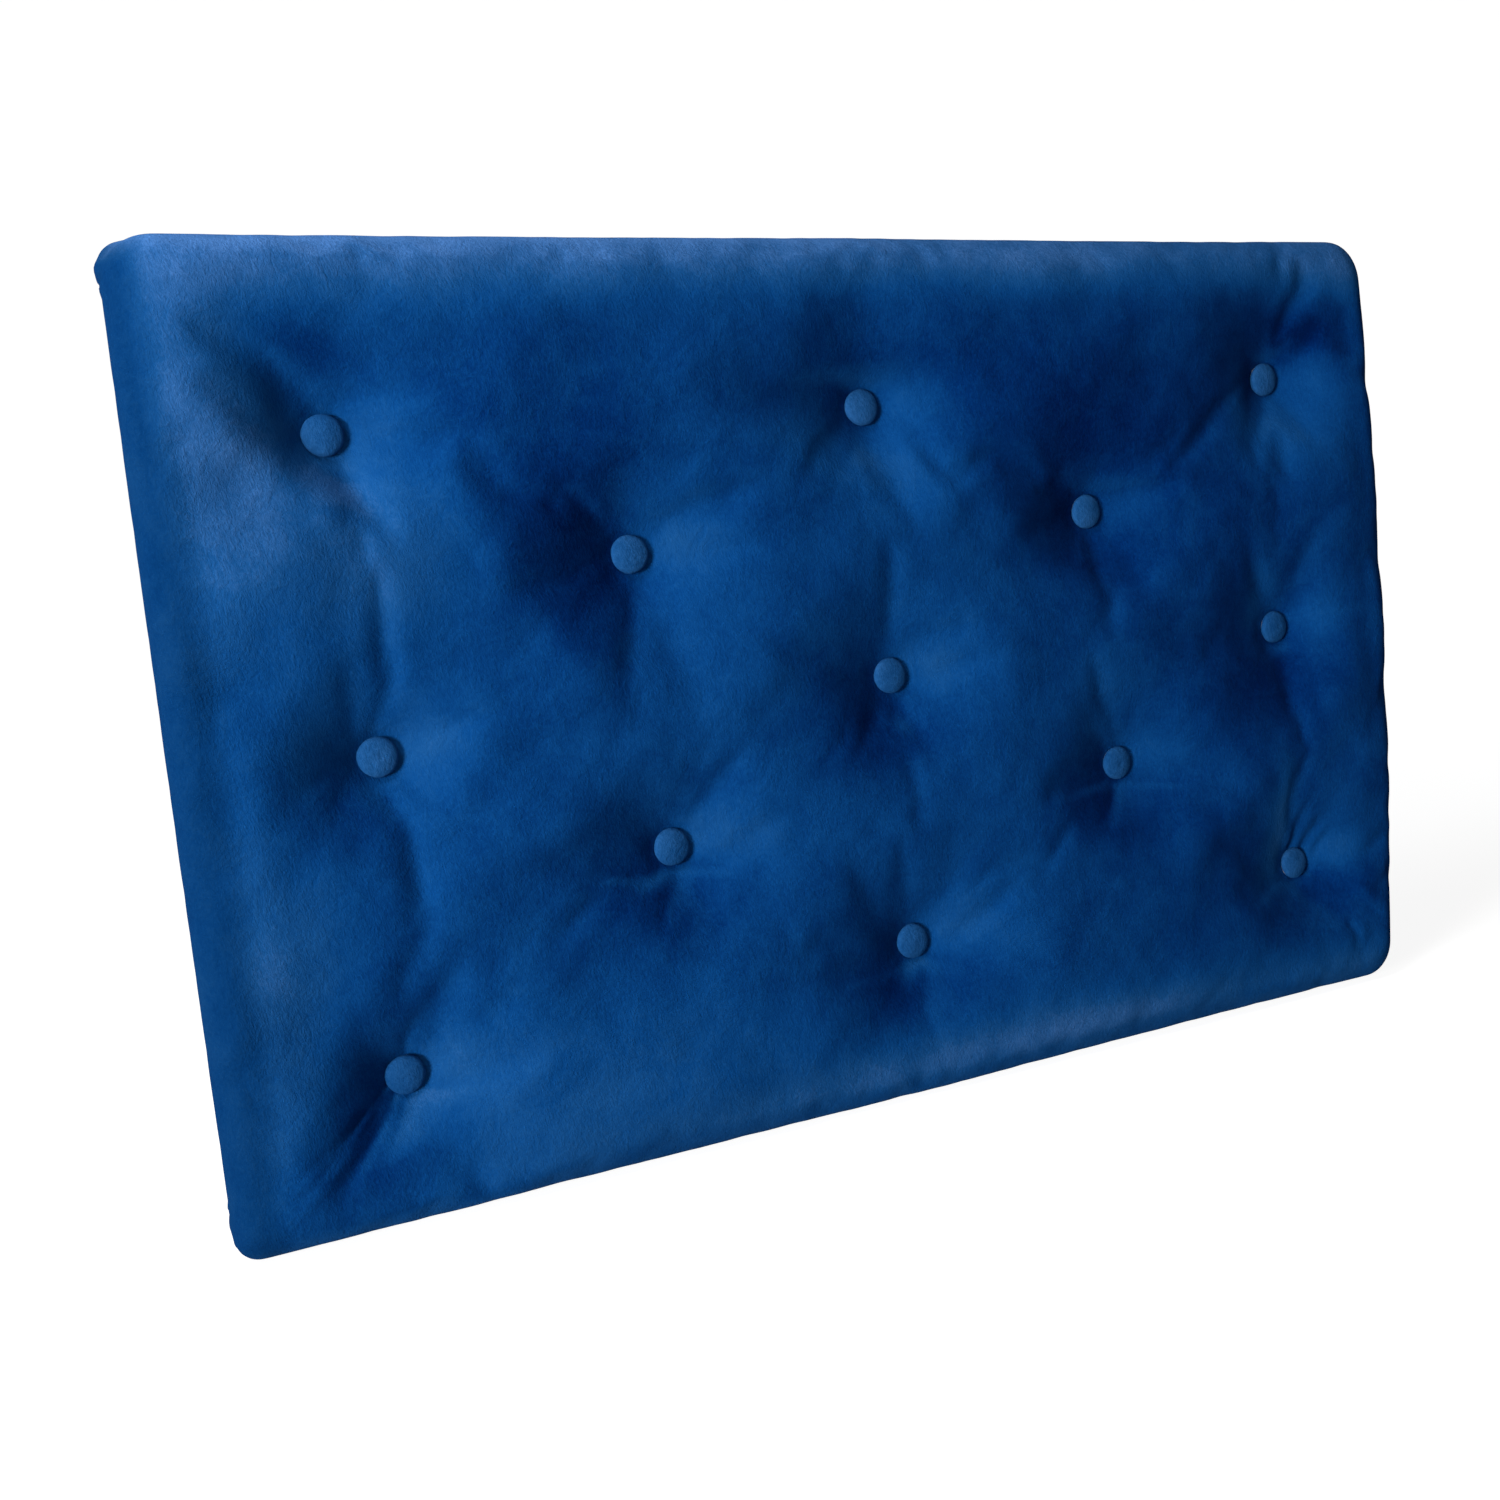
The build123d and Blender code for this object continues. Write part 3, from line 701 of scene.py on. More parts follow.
def swell(piece, pinned):
    """Blow a skin up with Cloth, keep a capped part of the movement and leave no modifier."""
    start = coordinates(piece.data)
    group = piece.vertex_groups.new(name="pinned")
    pinned = np.round(pinned, 1)
    for weight in np.unique(pinned[pinned > 0]):
        group.add(np.flatnonzero(pinned == weight).tolist(), float(weight), "REPLACE")
    cloth = piece.modifiers.new("Cloth", "CLOTH")
    settings = cloth.settings
    settings.quality = 4
    settings.mass = 0.35
    settings.tension_stiffness = settings.compression_stiffness = 18
    settings.shear_stiffness = 6
    settings.bending_stiffness = 1.2
    settings.vertex_group_mass = "pinned"
    settings.use_pressure = True
    settings.uniform_pressure_force = 4
    settings.shrink_min = -0.012
    settings.effector_weights.gravity = 0
    cloth.collision_settings.use_self_collision = False
    scene = bpy.context.scene
    for number in range(1, cloth_frames + 1):
        scene.frame_set(number)
    shaped = piece.evaluated_get(bpy.context.evaluated_depsgraph_get())
    end = coordinates(shaped.data)
    piece.modifiers.remove(cloth)
    scene.frame_set(1)
    moved = end - start
    inset = edge_inset(start[:, 0] / mm, start[:, 2] / mm - middle_height)
    moved[:, ::2] *= np.clip(inset / edge_free, edge_keep, 1)[:, None]
    length = np.linalg.norm(moved, axis=1, keepdims=True)
    kept = swell_cap * np.tanh(length / swell_cap)
    put_coordinates(piece.data, start + moved * kept / np.maximum(length, 1e-9))
    print("cloth moved points by", round(float(length.max()) / mm, 1), "mm at most, kept",
          round(float(kept.max()) / mm, 1))


cover_points = coordinates(cover.data) / mm
seat_distance = tuft_distance(cover_points[:, 0], cover_points[:, 2] - middle_height)
from_wall = panel_depth / 2 - cover_points[:, 1]
# pinned up to a little beyond each button, and from the rear of the side to the hem
seat_pins, seat_fade, rear_pins, rear_fade = 6.0, 5.0, 20.0, 10.0
pins = np.clip((button_radius + seat_pins - seat_distance) / seat_fade, 0, 1)
pins = np.maximum(pins, np.clip((rear_pins - from_wall) / rear_fade, 0, 1))
swell(cover, pins)
shaped_points = coordinates(cover.data)
print("shape settled")

# %% [markdown]
# ## Finer skin and pleats
# Subdivision rounds the swollen skin. The pleats are narrower than the grid's cells, so they come after
# it: each is a sharp valley with a raised lip on one side, as where cloth is pinched and folds over.

# %% Subdivide


def point_normals(mesh):
    normals = np.empty(len(mesh.vertices) * 3, np.float32)
    mesh.vertices.foreach_get("normal", normals)
    return normals.reshape(-1, 3).astype(float)


# the coarse skin is kept as a cage: the lining and the layers below are made from it
cage_normals = point_normals(cover.data)
cage_faces = [tuple(face.vertices) for face in cover.data.polygons]
hem_count = len(ring_of(outlines[0]))
finer = cover.modifiers.new("Subdivision", "SUBSURF")
finer.levels = finer.render_levels = 1
finer.boundary_smooth = "PRESERVE_CORNERS"
shade_smoothly(keep_result(cover, finer))
print("outside of the cover:", len(cover.data.polygons), "quads")

# %% Pleats
# from x, z to x, z, then depth, width at the start and the end, and the lip's height
pleats = [
    (-364, -212, -426, -250, 1.5, 2.4, 3.0, 0.9), (-370, -222, -410, -250, 1.3, 2.2, 2.8, 0.8),
    (-360, -216, -398, -258, 1.2, 2.8, 4.0, 0.6), (-352, -192, -346, -176, 1.0, 3.0, 4.0, 0.4),
    (-385, -225, -428, -262, 1.3, 2.6, 3.4, 0.6), (386, -196, 452, -226, 1.7, 3.0, 3.6, 1.0),
    (388, -202, 448, -250, 1.6, 3.2, 3.6, 0.9), (384, -186, 392, -160, 2.2, 3.0, 4.0, 1.4),
    (372, -178, 378, -146, 2.0, 3.0, 4.0, 0.9), (394, -188, 402, -172, 1.8, 3.0, 3.0, 0.8),
    (414, -250, 418, -266, 2.0, 4.0, 4.5, 0.6),
]
# how far a pleat bows sideways, how quickly it ends, and what it loses in depth on its way
pleat_bow, pleat_end, pleat_fade = 2.0, 4.0, 0.5
# where the lip's crest lies and how wide it is, in widths of the pleat
lip_place, lip_width = 1.9, 1.3
# the folds at the corners: which side, the height from the middle, how far it reaches from the wall, and
# how far it stands out
corner_folds = [(-1, 277, 46, 2.4), (1, 279, 42, 2.0), (-1, -279, 36, 1.4), (1, -276, 44, 2.2)]
# the line between the two lips of such a fold: depth and width, and how the fold leans to the wall
fold_line, fold_width, fold_lean = 2.6, 2.0, 0.05
# the lip beyond the line and the one before it: distance, width
lip_above, lip_below = (6.5, 5.5), (4.0, 3.0)
lip_below_height = 0.9
# the cloth stays this far above the floor
lowest = 0.05


def pleat_drop(x, z, widen=0.0):
    """Sharp valleys, each with a lip on its upper side."""
    drop = np.zeros_like(x)
    for x1, z1, x2, z2, depth, wide_1, wide_2, lip in pleats:
        along = np.array([x2 - x1, z2 - z1])
        length = np.hypot(*along)
        share = ((x - x1) * along[0] + (z - z1) * along[1]) / length ** 2
        across = ((x - x1) * along[1] - (z - z1) * along[0]) / length
        nearest = np.clip(share, 0, 1)
        past = np.abs(share - nearest) * length
        width = wide_1 + (wide_2 - wide_1) * nearest + widen
        ends = np.exp(-(past / pleat_end) ** 2) * (1 - pleat_fade * nearest)
        bend = across + pleat_bow * np.sin(nearest * 3.0)
        valley = depth * np.exp(-(bend / width) ** 2)
        drop += ends * (valley - lip * np.exp(-((bend + lip_place * width) / (lip_width * width)) ** 2))
    return drop


def side_pleat(points, normals, side, height, tip, bulge):
    """The fold where the cloth is gathered round a corner of the frame, on a side face."""
    z = points[:, 2] - middle_height
    from_wall = panel_depth / 2 - points[:, 1]
    facing = np.clip(normals[:, 0] * side, 0, 1)
    reach = np.clip((tip - from_wall) / 14, 0, 1) * np.clip((from_wall - 1) / 4, 0, 1)
    outwards = 1 if height > 0 else -1
    off = (z - height - fold_lean * from_wall) * outwards
    line = -fold_line * np.exp(-(off / fold_width) ** 2)
    above = bulge * np.exp(-((off - lip_above[0]) / lip_above[1]) ** 2)
    below = lip_below_height * np.exp(-((off + lip_below[0]) / lip_below[1]) ** 2)
    return facing * reach * (line + above + below)


fine = coordinates(cover.data) / mm
fine_normals = point_normals(cover.data)
front = np.clip(-fine_normals[:, 1] * 1.6, 0, 1) * (fine[:, 1] < 10)
drop = pleat_drop(fine[:, 0], fine[:, 2] - middle_height)
fine[:, 1] += drop * front
for corner_fold in corner_folds:
    fine += fine_normals * side_pleat(fine, fine_normals, *corner_fold)[:, None]
fine[:, 2] = np.maximum(fine[:, 2], lowest)
put_coordinates(cover.data, fine * mm)
print("pleats:", len(pleats), "on the front and", len(corner_folds), "at the corners")

# %% [markdown]
# ## How the pile lies, with painted light and shade
# The hollows of this tufted panel show mostly through painted light and shade in the velvet's colour:
# it is pale on the slope right of a button and shaded left of it and below, pale on slopes that face
# left and on the top, and darker on the sides. That is worked out for each point from its place and its
# normal, and a list of patches, partly brushed pile and partly painted light and shade, is laid over it,
# whose places and strengths partly follow the same fit, rounded. Painting an image would do the same,
# but the list stays readable and follows the panel.

# %% Nap, with painted light and shade
# Where the pile has been brushed, and where light and shade are painted: x, z, half width, half height, and
# how much paler (or, negative, darker)
brush_and_light_marks = [
    (-425, 200, 45, 110, 0.36), (-392, 176, 40, 40, 0.15), (-345, 130, 80, 50, 0.20),
    (-340, 95, 45, 45, 0.15), (-300, 285, 190, 24, 0.38), (-60, 286, 160, 20, 0.18),
    (150, 286, 170, 22, 0.45), (380, 284, 110, 24, 0.35), (-424, -140, 34, 130, 0.28),
    (-400, -262, 70, 28, -0.10), (-200, -250, 190, 45, 0.15), (-110, -278, 170, 15, 0.15),
    (150, -274, 200, 18, 0.40), (405, -214, 38, 22, -0.25), (400, 226, 45, 22, -0.30),
    (330, 40, 150, 330, -0.15), (60, 215, 110, 60, -0.15), (-215, 140, 60, 80, -0.20),
    (190, 160, 90, 70, -0.20), (220, 62, 32, 24, -0.10), (20, -40, 70, 36, -0.10),
    (-160, -130, 70, 30, -0.10), (205, -120, 60, 26, -0.10), (20, -222, 70, 24, -0.15),
    (380, -40, 50, 30, -0.15), (10, 140, 70, 28, 0.15), (370, 150, 60, 30, 0.25),
    (346, 15, 16, 36, 0.25), (350, -150, 14, 40, 0.40), (330, 180, 14, 26, 0.15),
    (-300, 190, 50, 60, -0.10), (-372, 222, 26, 30, -0.20), (-378, 10, 26, 50, 0.15),
    (182, -30, 26, 40, 0.12), (345, -190, 24, 22, 0.25), (420, -286, 70, 20, 0.25),
    (450, 286, 30, 24, 0.25), (-80, 130, 40, 24, -0.12), (-45, 170, 26, 18, 0.15),
]
# the same for the painted light and painted shade beside each button, with their places from its middle
painted_light_spot, painted_shade_spot = (36, 4, 26, 18, 0.15), (-22, -26, 34, 30, -0.12)
# the buttons of the top row have no spot of painted shade
top_row = 3
# the painted level of each face of the panel, with how its pile lies: painted light on the top and the
# underside, painted shade on the right side; 0 for shaded, 1 for pale
front_light_and_shade, left_light_and_shade, right_light_and_shade, top_light_and_shade, bottom_light_and_shade = 0.35, 0.46, 0.30, 0.97, 0.55
# painted light and shade on the front: how much a slope changes it, and the painted shade that darkens the
# left side
slope_light_and_shade, slope_gain, left_painted_shade = 0.10, 2.7, 0.48


def spot(x, z, middle_x, middle_z, wide, high, amount):
    """A soft patch, strongest in its middle."""
    return amount * np.exp(-((x - middle_x) / wide) ** 2 - ((z - middle_z) / high) ** 2)


def pile_and_painted_light(points, normals):
    """How the pile lies at each point with painted light and shade in it, and the share of the colour that
    the painted shade on the left side keeps.
    """
    x, z = points[:, 0], points[:, 2] - middle_height
    # painted light on slopes that face left, painted shade on slopes that face right
    front = front_light_and_shade - slope_light_and_shade * np.tanh(slope_gain * normals[:, 0])
    # patches of brushed pile, and patches of painted light and painted shade
    for mark in brush_and_light_marks:
        front += spot(x, z, *mark)
    # a painted highlight right of each button, and painted shade left of it and below
    for number, (tuft_x, tuft_z) in enumerate(tufts, start=1):
        front += spot(x - tuft_x, z - tuft_z, *painted_light_spot)
        if number > top_row:
            front += spot(x - tuft_x, z - tuft_z, *painted_shade_spot)
    # painted shade on a band down the left side and on the right side, painted light on the top, fading to
    # the right, and on the underside
    left_inset = x + half_width + edge_swell
    band = 14 - 10 * np.clip((z - 60) / 200, 0, 1)
    left_side = eased(np.clip(1 - (left_inset - band) / 24, 0, 1))
    right_side = np.clip((normals[:, 0] - 0.60) / 0.30, 0, 1)
    upwards = np.clip((normals[:, 2] - 0.35) / 0.45, 0, 1)
    downwards = np.clip((-normals[:, 2] - 0.35) / 0.45, 0, 1)
    lie_and_light = front * (1 - left_side) + left_light_and_shade * left_side
    lie_and_light = lie_and_light * (1 - right_side) + right_light_and_shade * right_side
    lie_and_light = lie_and_light * (1 - upwards) + (top_light_and_shade - 0.20 * np.clip((x + 200) / 500, 0, 1)) * upwards
    return lie_and_light * (1 - downwards) + bottom_light_and_shade * downwards, 1 - left_painted_shade * left_side


pile_and_light_values, painted_shade_values = pile_and_painted_light(coordinates(cover.data) / mm, point_normals(cover.data))
print("nap from", round(float(pile_and_light_values.min()), 2), "to", round(float(pile_and_light_values.max()), 2))

# %% [markdown]
# ## The inside of the cloth
# The inside of the velvet is never seen, so it stays as coarse as the cage, and one row of faces joins
# it to the outside at the hem. Solidify would be simpler, but it would double every fine face.
# The inside lies deeper round the seats and under the pleats, so that it doesn't show through there.

# %% Lining
velvet_thickness = 1.2 * mm
# how much deeper the inside lies round a seat, in millimetres, and how much wider under a pleat
seat_ease, pleat_ease = 0.9, 3.0


def line_skin(piece, inside_points, inside_faces, hem_size):
    """Give a fine skin a coarse inside, joined to it round the hem."""
    body = bmesh.new()
    body.from_mesh(piece.data)
    body.verts.ensure_lookup_table()
    coarse_hem = list(range(len(inside_points) - hem_size, len(inside_points)))
    beside = {}
    for edge in body.edges:
        if edge.is_boundary:
            a, b = edge.verts
            beside.setdefault(a.index, []).append(b.index)
            beside.setdefault(b.index, []).append(a.index)
    inside = [body.verts.new(point) for point in inside_points]
    body.verts.ensure_lookup_table()
    for face in inside_faces:
        body.faces.new([inside[i] for i in reversed(face)])
    for step, here in enumerate(coarse_hem):
        there = coarse_hem[(step + 1) % hem_size]
        middle = (set(beside[here]) & set(beside[there])).pop()
        outer = [body.verts[number] for number in (here, middle, there)]
        body.faces.new(outer + [inside[there], inside[here]])
    bmesh.ops.recalc_face_normals(body, faces=body.faces)
    body.to_mesh(piece.data)
    body.free()
    shade_smoothly(piece.data)
    piece.data.update()


cage_x, cage_z = shaped_points[:, 0] / mm, shaped_points[:, 2] / mm - middle_height
cage_front = np.clip(-cage_normals[:, 1] * 2, 0, 1) * (shaped_points[:, 1] < 10 * mm)
near_seat = np.exp(-(np.maximum(seat_distance - 10, 0) / 18) ** 2)
under_pleats = np.maximum(pleat_drop(cage_x, cage_z, widen=pleat_ease), 0)
inside_points = shaped_points - cage_normals * velvet_thickness
inside_points[:, 1] += (seat_ease * near_seat + under_pleats) * cage_front * mm
inside_points[:, 2] = np.maximum(inside_points[:, 2], 0.5 * mm)
line_skin(cover, inside_points.tolist(), cage_faces, hem_count)
# the pile's lie with its painted light and shade, and the painted shade of the left side, go onto the points
for name, outside_values, inside_value in (("nap", pile_and_light_values, 0.4), ("shade", painted_shade_values, 1.0)):
    values = np.full(len(cover.data.vertices), inside_value, np.float32)
    values[:len(outside_values)] = outside_values
    cover.data.attributes.new(name, "FLOAT", "POINT").data.foreach_set("value", values)
cover.data.materials.append(finishes["navy_velvet"])
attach(cover, "root")
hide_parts("velvet_cover")
triangles = sum(len(face.vertices) - 2 for face in cover.data.polygons)
print("cover has", triangles, "triangles")

# %% [markdown]
# ## Wadding and foam
# Under the velvet lie a loose white wadding and a foam pad on the hardboard. They can't be seen in the
# closed panel, but they are separate pieces, so each is made from the same skin, set in by what lies
# over it, and closed behind.

# %% Wadding
# how far under the skin, how thick, how many rings towards the wall, and how far above the floor
wadding_inset, wadding_thickness, wadding_rings, wadding_lowest = 1.6, 4.0, 15, 1.6
# how much deeper the layers lie under a button, and how much wider under a pleat
button_room, pleat_room = 2.2, 3.5


def set_in(inset, ring_count):
    """The cage's grid and rings in millimetres, moved inwards, and further under buttons and pleats."""
    points = (shaped_points - cage_normals * inset * mm) / mm
    under_button = button_room * np.exp(-(np.maximum(tuft_distance(cage_x, cage_z) - 8, 0) / 14) ** 2)
    under_pleats = np.maximum(pleat_drop(cage_x, cage_z, widen=pleat_room), 0)
    points[:, 1] += (under_button + under_pleats) * cage_front
    size = skin_grid.shape[0] * skin_grid.shape[1]
    rings = [points[size + k * hem_count: size + (k + 1) * hem_count] for k in range(ring_count)]
    return points[:size].reshape(skin_grid.shape), rings


def wadding_loft():
    """The wadding: the skin set in by the velvet, with an even thickness inwards."""
    grid, rings = set_in(wadding_inset, wadding_rings)
    for points in (grid, *rings):
        points[..., 2] = np.maximum(points[..., 2], wadding_lowest)
    layer = skin_mesh("wadding_loft", grid, rings)
    solid = layer.modifiers.new("Solidify", "SOLIDIFY")
    solid.thickness = wadding_thickness * mm
    solid.offset = -1
    shade_smoothly(keep_result(layer, solid))
    layer.data.materials.append(finishes["white_wadding"])
    return layer


flow, place, feed = new_finish("white_wadding", roughness=0.95, sheen_weight=0.3, specular_ior_level=0.1)
tangle = flow.noise(flow.turned(place, (90, 90, 420), (0.3, 0.5, 0.2)), 1.0, 4.0, 0.7, 1.5)
clumps = flow.noise(place, 38.0, 3.0, 0.6)
feed("Base Color", (tangle * 0.6 + clumps * 0.4).ramp(0.3, 0.7).tint((0.62, 0.62, 0.60), (0.84, 0.84, 0.82)))
feed("Normal", flow.bump(tangle + clumps, 0.6, 0.0012))

flow, place, feed = new_finish("cream_foam", roughness=0.92, specular_ior_level=0.15)
cells = flow.node("ShaderNodeTexVoronoi", {}, {"Vector": place, "Scale": 850.0})
ageing = flow.noise(place, 12.0, 3.0, 0.6).ramp(0.35, 0.7)
feed("Base Color", (cells * 0.5 + ageing * 0.5).ramp(0.1, 0.8).tint((0.72, 0.62, 0.38), (0.84, 0.77, 0.56)))
feed("Normal", flow.bump(cells, 0.5, 0.0006))

wadding = wadding_loft()
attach(wadding, "root")
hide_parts("wadding_layer")
print("wadding_loft", len(wadding.data.polygons), "faces")

# %% Foam pad
# how far under the skin, how many rings towards the board, and how far in from the frame's outline
foam_inset, foam_rings, foam_edge = 6.3, 9, 6.2
# off the board: the pad's back, and the deepest that a button presses its front
foam_gap, foam_least = 0.1, 1.5
# how much farther the pad's front lies back where it is steep
foam_ease = 3.0
# how much of the sides' swell the pad's back has
foam_fullness = 0.3


def foam_block():
    """The pad: the skin set in by velvet and wadding, and flat where it lies on the board."""
    rows, columns = skin_grid.shape[:2]
    grid, rings = set_in(foam_inset, foam_rings)
    deepest = panel_depth / 2 - board_front - foam_least
    steep = np.clip(1 + cage_normals[:rows * columns, 1].reshape(rows, columns), 0, 1)
    grid[..., 1] = np.minimum(grid[..., 1] + foam_ease * steep, deepest)
    for ring in rings:
        ring[:, 1] = np.minimum(ring[:, 1], deepest)
    flat_sides = level_outline(-foam_edge, back_corner - foam_edge, foam_fullness)
    last = ring_of(flat_sides)
    back = panel_depth / 2 - board_front - foam_gap
    rings.append(np.stack([last[:, 0], np.full(len(last), back), last[:, 1] + middle_height], -1))
    piece = skin_mesh("foam_block", grid, rings)
    flat = fill_outline(flat_sides)
    body = bmesh.new()
    body.from_mesh(piece.data)
    body.verts.ensure_lookup_table()
    count = len(body.verts)
    border = grid_border(rows, columns)
    to_ring = {int(b): count - hem_count + number for number, b in enumerate(border)}
    made = {}
    for row in range(rows):
        for column in range(columns):
            key = row * columns + column
            if key not in to_ring:
                x, z = flat[row, column]
                made[key] = body.verts.new((x * mm, back * mm, (z + middle_height) * mm))
    body.verts.ensure_lookup_table()

    def corner_of(key):
        return made[key] if key in made else body.verts[to_ring[key]]

    for row in range(rows - 1):
        for column in range(columns - 1):
            key = row * columns + column
            body.faces.new([corner_of(k) for k in (key, key + columns, key + columns + 1, key + 1)])
    bmesh.ops.recalc_face_normals(body, faces=body.faces)
    body.to_mesh(piece.data)
    body.free()
    piece.data.materials.append(finishes["cream_foam"])
    return piece


foam = foam_block()
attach(foam, "root")
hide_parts("foam_pad")
print("foam block", len(foam.data.polygons), "faces")

# %% [markdown]
# ## Covered buttons
# A covered button is a metal shell with cloth pressed over it: a low dome with a rounded rim. One
# outline turned round an axis would give thirteen equal ones, so each is tilted a little as its twine
# pulls it, and some faces are dented as in the photograph.

# %% Buttons
button_height, button_round, rim_radius = 7.4, 12.6, 2.8
segments = 40
# the rim isn't quite round: how much, and how many times round it, for a slow and a quick wave
rim_waves = ((0.010, 3), (0.006, 7))
# only the face is dented, which is what lies higher than this
face_height = 4
# how far from the wall plane the buttons' backs lie
button_seat = 38.15
# tilt about X and about Z in degrees, then dents: offset across and up from the middle, radius, depth
button_marks = [
    (2.5, -2, [(-3, 3, 4, 0.25)]), (-2, 1, [(-3, 3, 5, 0.2)]), (2, 3, []), (-2, -1, [(4, 2, 5, 0.2)]),
    (2, 3, []), (1, -2, [(2, 1, 2.6, 0.6), (-4, -3, 3, 0.5)]), (-2, 2, [(0, 2, 5, 0.25)]),
    (1, 3, [(2, 1, 2.4, 0.6)]), (-3, 2, []), (2, 3, [(0, -1, 2.8, 0.6)]), (3, -2, [(-3, -2, 4, 0.3)]),
    (-2, 2, [(3, -3, 4, 0.4)]), (-3, 3, [(4, 4, 4, 0.4)]),
]


def button_profile():
    """Radius and height of the turned outline, from the back's middle to the top."""
    flat = [(r, 0.0) for r in (2.5, 5.5, 8.0)]
    rim_middle = button_round - rim_radius
    angles = np.radians(np.linspace(-90, 70, 9))
    rim = [(rim_middle + rim_radius * math.cos(a), rim_radius + rim_radius * math.sin(a)) for a in angles]
    end_r, end_h = rim[-1]
    rise = button_height - end_h
    dome = (end_r ** 2 + rise ** 2) / (2 * rise)
    top = [(r, button_height - dome + math.sqrt(dome ** 2 - r ** 2)) for r in np.linspace(end_r, 1.2, 8)[1:]]
    return flat + rim + top


def dent_depth(dents, x, z):
    """How deep a button's face is dented at a point."""
    return sum(depth * math.exp(-((x - dent_x) ** 2 + (z - dent_z) ** 2) / size ** 2)
               for dent_x, dent_z, size, depth in dents)


def button_mesh(number, tilt_x, tilt_z, dents):
    """One covered button in its seat, in millimetres."""
    profile = button_profile()
    phases = np.random.default_rng(40 + number).uniform(0, 6.28, 3)
    turns = np.linspace(0, 2 * math.pi, segments, endpoint=False)
    points = [(0, 0, 0)]
    for r, h in profile:
        for a in turns:
            gather = 1 + sum(size * math.sin(times * a + phase)
                             for (size, times), phase in zip(rim_waves, phases))
            x, z = r * math.cos(a) * gather, r * math.sin(a) * gather
            points.append((x, z, h - (dent_depth(dents, x, z) if h > face_height else 0)))
    points.append((0, 0, button_height - dent_depth(dents, 0, 0)))
    faces = [(0, 1 + (i + 1) % segments, 1 + i) for i in range(segments)]
    for ring in range(len(profile) - 1):
        start = 1 + ring * segments
        for i in range(segments):
            j = (i + 1) % segments
            faces.append((start + i, start + j, start + segments + j, start + segments + i))
    start, top = 1 + (len(profile) - 1) * segments, len(points) - 1
    faces += [(start + i, start + (i + 1) % segments, top) for i in range(segments)]
    local = np.array(points)
    upright = np.stack([local[:, 0], -local[:, 2], local[:, 1]], -1)
    tilt = Matrix.Rotation(math.radians(tilt_z), 3, "Z") @ Matrix.Rotation(math.radians(tilt_x), 3, "X")
    upright = upright @ np.array(tilt).T
    x, z = tufts[number - 1]
    centre = np.array([x, panel_depth / 2 - button_seat, z + middle_height])
    return upright + centre, faces


for number, (tilt_x, tilt_z, dents) in enumerate(button_marks, start=1):
    points, faces = button_mesh(number, tilt_x, tilt_z, dents)
    mesh = bpy.data.meshes.new(f"covered_button_{number:02d}")
    mesh.from_pydata((points * mm).tolist(), [], faces)
    shade_smoothly(mesh)
    mesh.materials.append(finishes["button_velvet"])
    button = added(f"covered_button_{number:02d}", mesh)
    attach(button, "root")
    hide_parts(f"tufting_button_{number:02d}")
print("buttons:", number, "with", len(faces), "faces each")

# %% [markdown]
# ## The cloth over the back
# A thin black spunbond cloth hides the frame from behind. It is stapled tight, so it puckers a little
# at each staple and lies slack over the open bays. The holes let bolts reach the tee nuts.
# The sheet is a fine grid, so that its own small waves can be worked out point by point.

# %% Spunbond finish
flow, place, feed = new_finish("black_spunbond", roughness=0.88, sheen_weight=0.25, specular_ior_level=0.2)
bonds = flow.node("ShaderNodeTexVoronoi", {}, {"Vector": flow.turned(place, (650, 1, 650)), "Scale": 1.0,
                                               "Randomness": 0.15}).ramp(0.12, 0.42)
threads = flow.noise(flow.turned(place, (900, 60, 260), (0, 0.6, 0)), 1.0, 3.0, 0.65, 1.2)
uneven = flow.noise(place, 16.0, 3.0, 0.6).ramp(0.3, 0.7)
tone = bonds * 0.45 + threads * 0.35 + uneven * 0.2
feed("Base Color", tone.tint((0.006, 0.006, 0.007), (0.032, 0.032, 0.035)))
feed("Normal", flow.bump(bonds + threads * 0.5, 0.5, 0.0004))
print("spunbond cloth")

# %% Back sheet
sheet_half = (449.0, 284.0)
sheet_corner = 10.0
bolt_places = [(x, z) for x in (-265.0, 265.0) for z in (-100.0, 100.0)]
bolt_hole, cell = 6.0, 5.0
# the holes are cut into a square of cells, this many cells each way
hole_cells = 2
staple_inset, staple_pitch = 22.0, 75.0
cloth_thickness = 0.3
# how far the outside of the cloth lies from the wall plane: at least, at a staple more by its pull,
# and between the staples by its slack, which ends short of the velvet's return
least_depth, staple_pull, most_slack, most_depth = 0.25, 0.45, 0.55, 2.6
# how far a staple's pucker reaches, and a bolt's hold on the open bay
pucker_reach, bolt_reach = 14.0, 40.0
# how far in from the edge the open bay begins, over what length the cloth sinks into it, and how deep
bay_inset, bay_fade, bay_sag = 62.0, 60.0, 1.2


def along_side(length, pitch):
    count = round(length / pitch)
    return [(index + 0.5 - count / 2) * length / count for index in range(count)]


def staple_ring(inset, pitch):
    """Places round the back, an inset from the edge, and whether each runs upwards."""
    wide, high = half_width - inset, half_height - inset
    places = [(x, side * high, False) for side in (-1, 1) for x in along_side(2 * wide, pitch)]
    return places + [(side * wide, z, True) for side in (-1, 1) for z in along_side(2 * high, pitch)]


back_staples = staple_ring(staple_inset, staple_pitch)


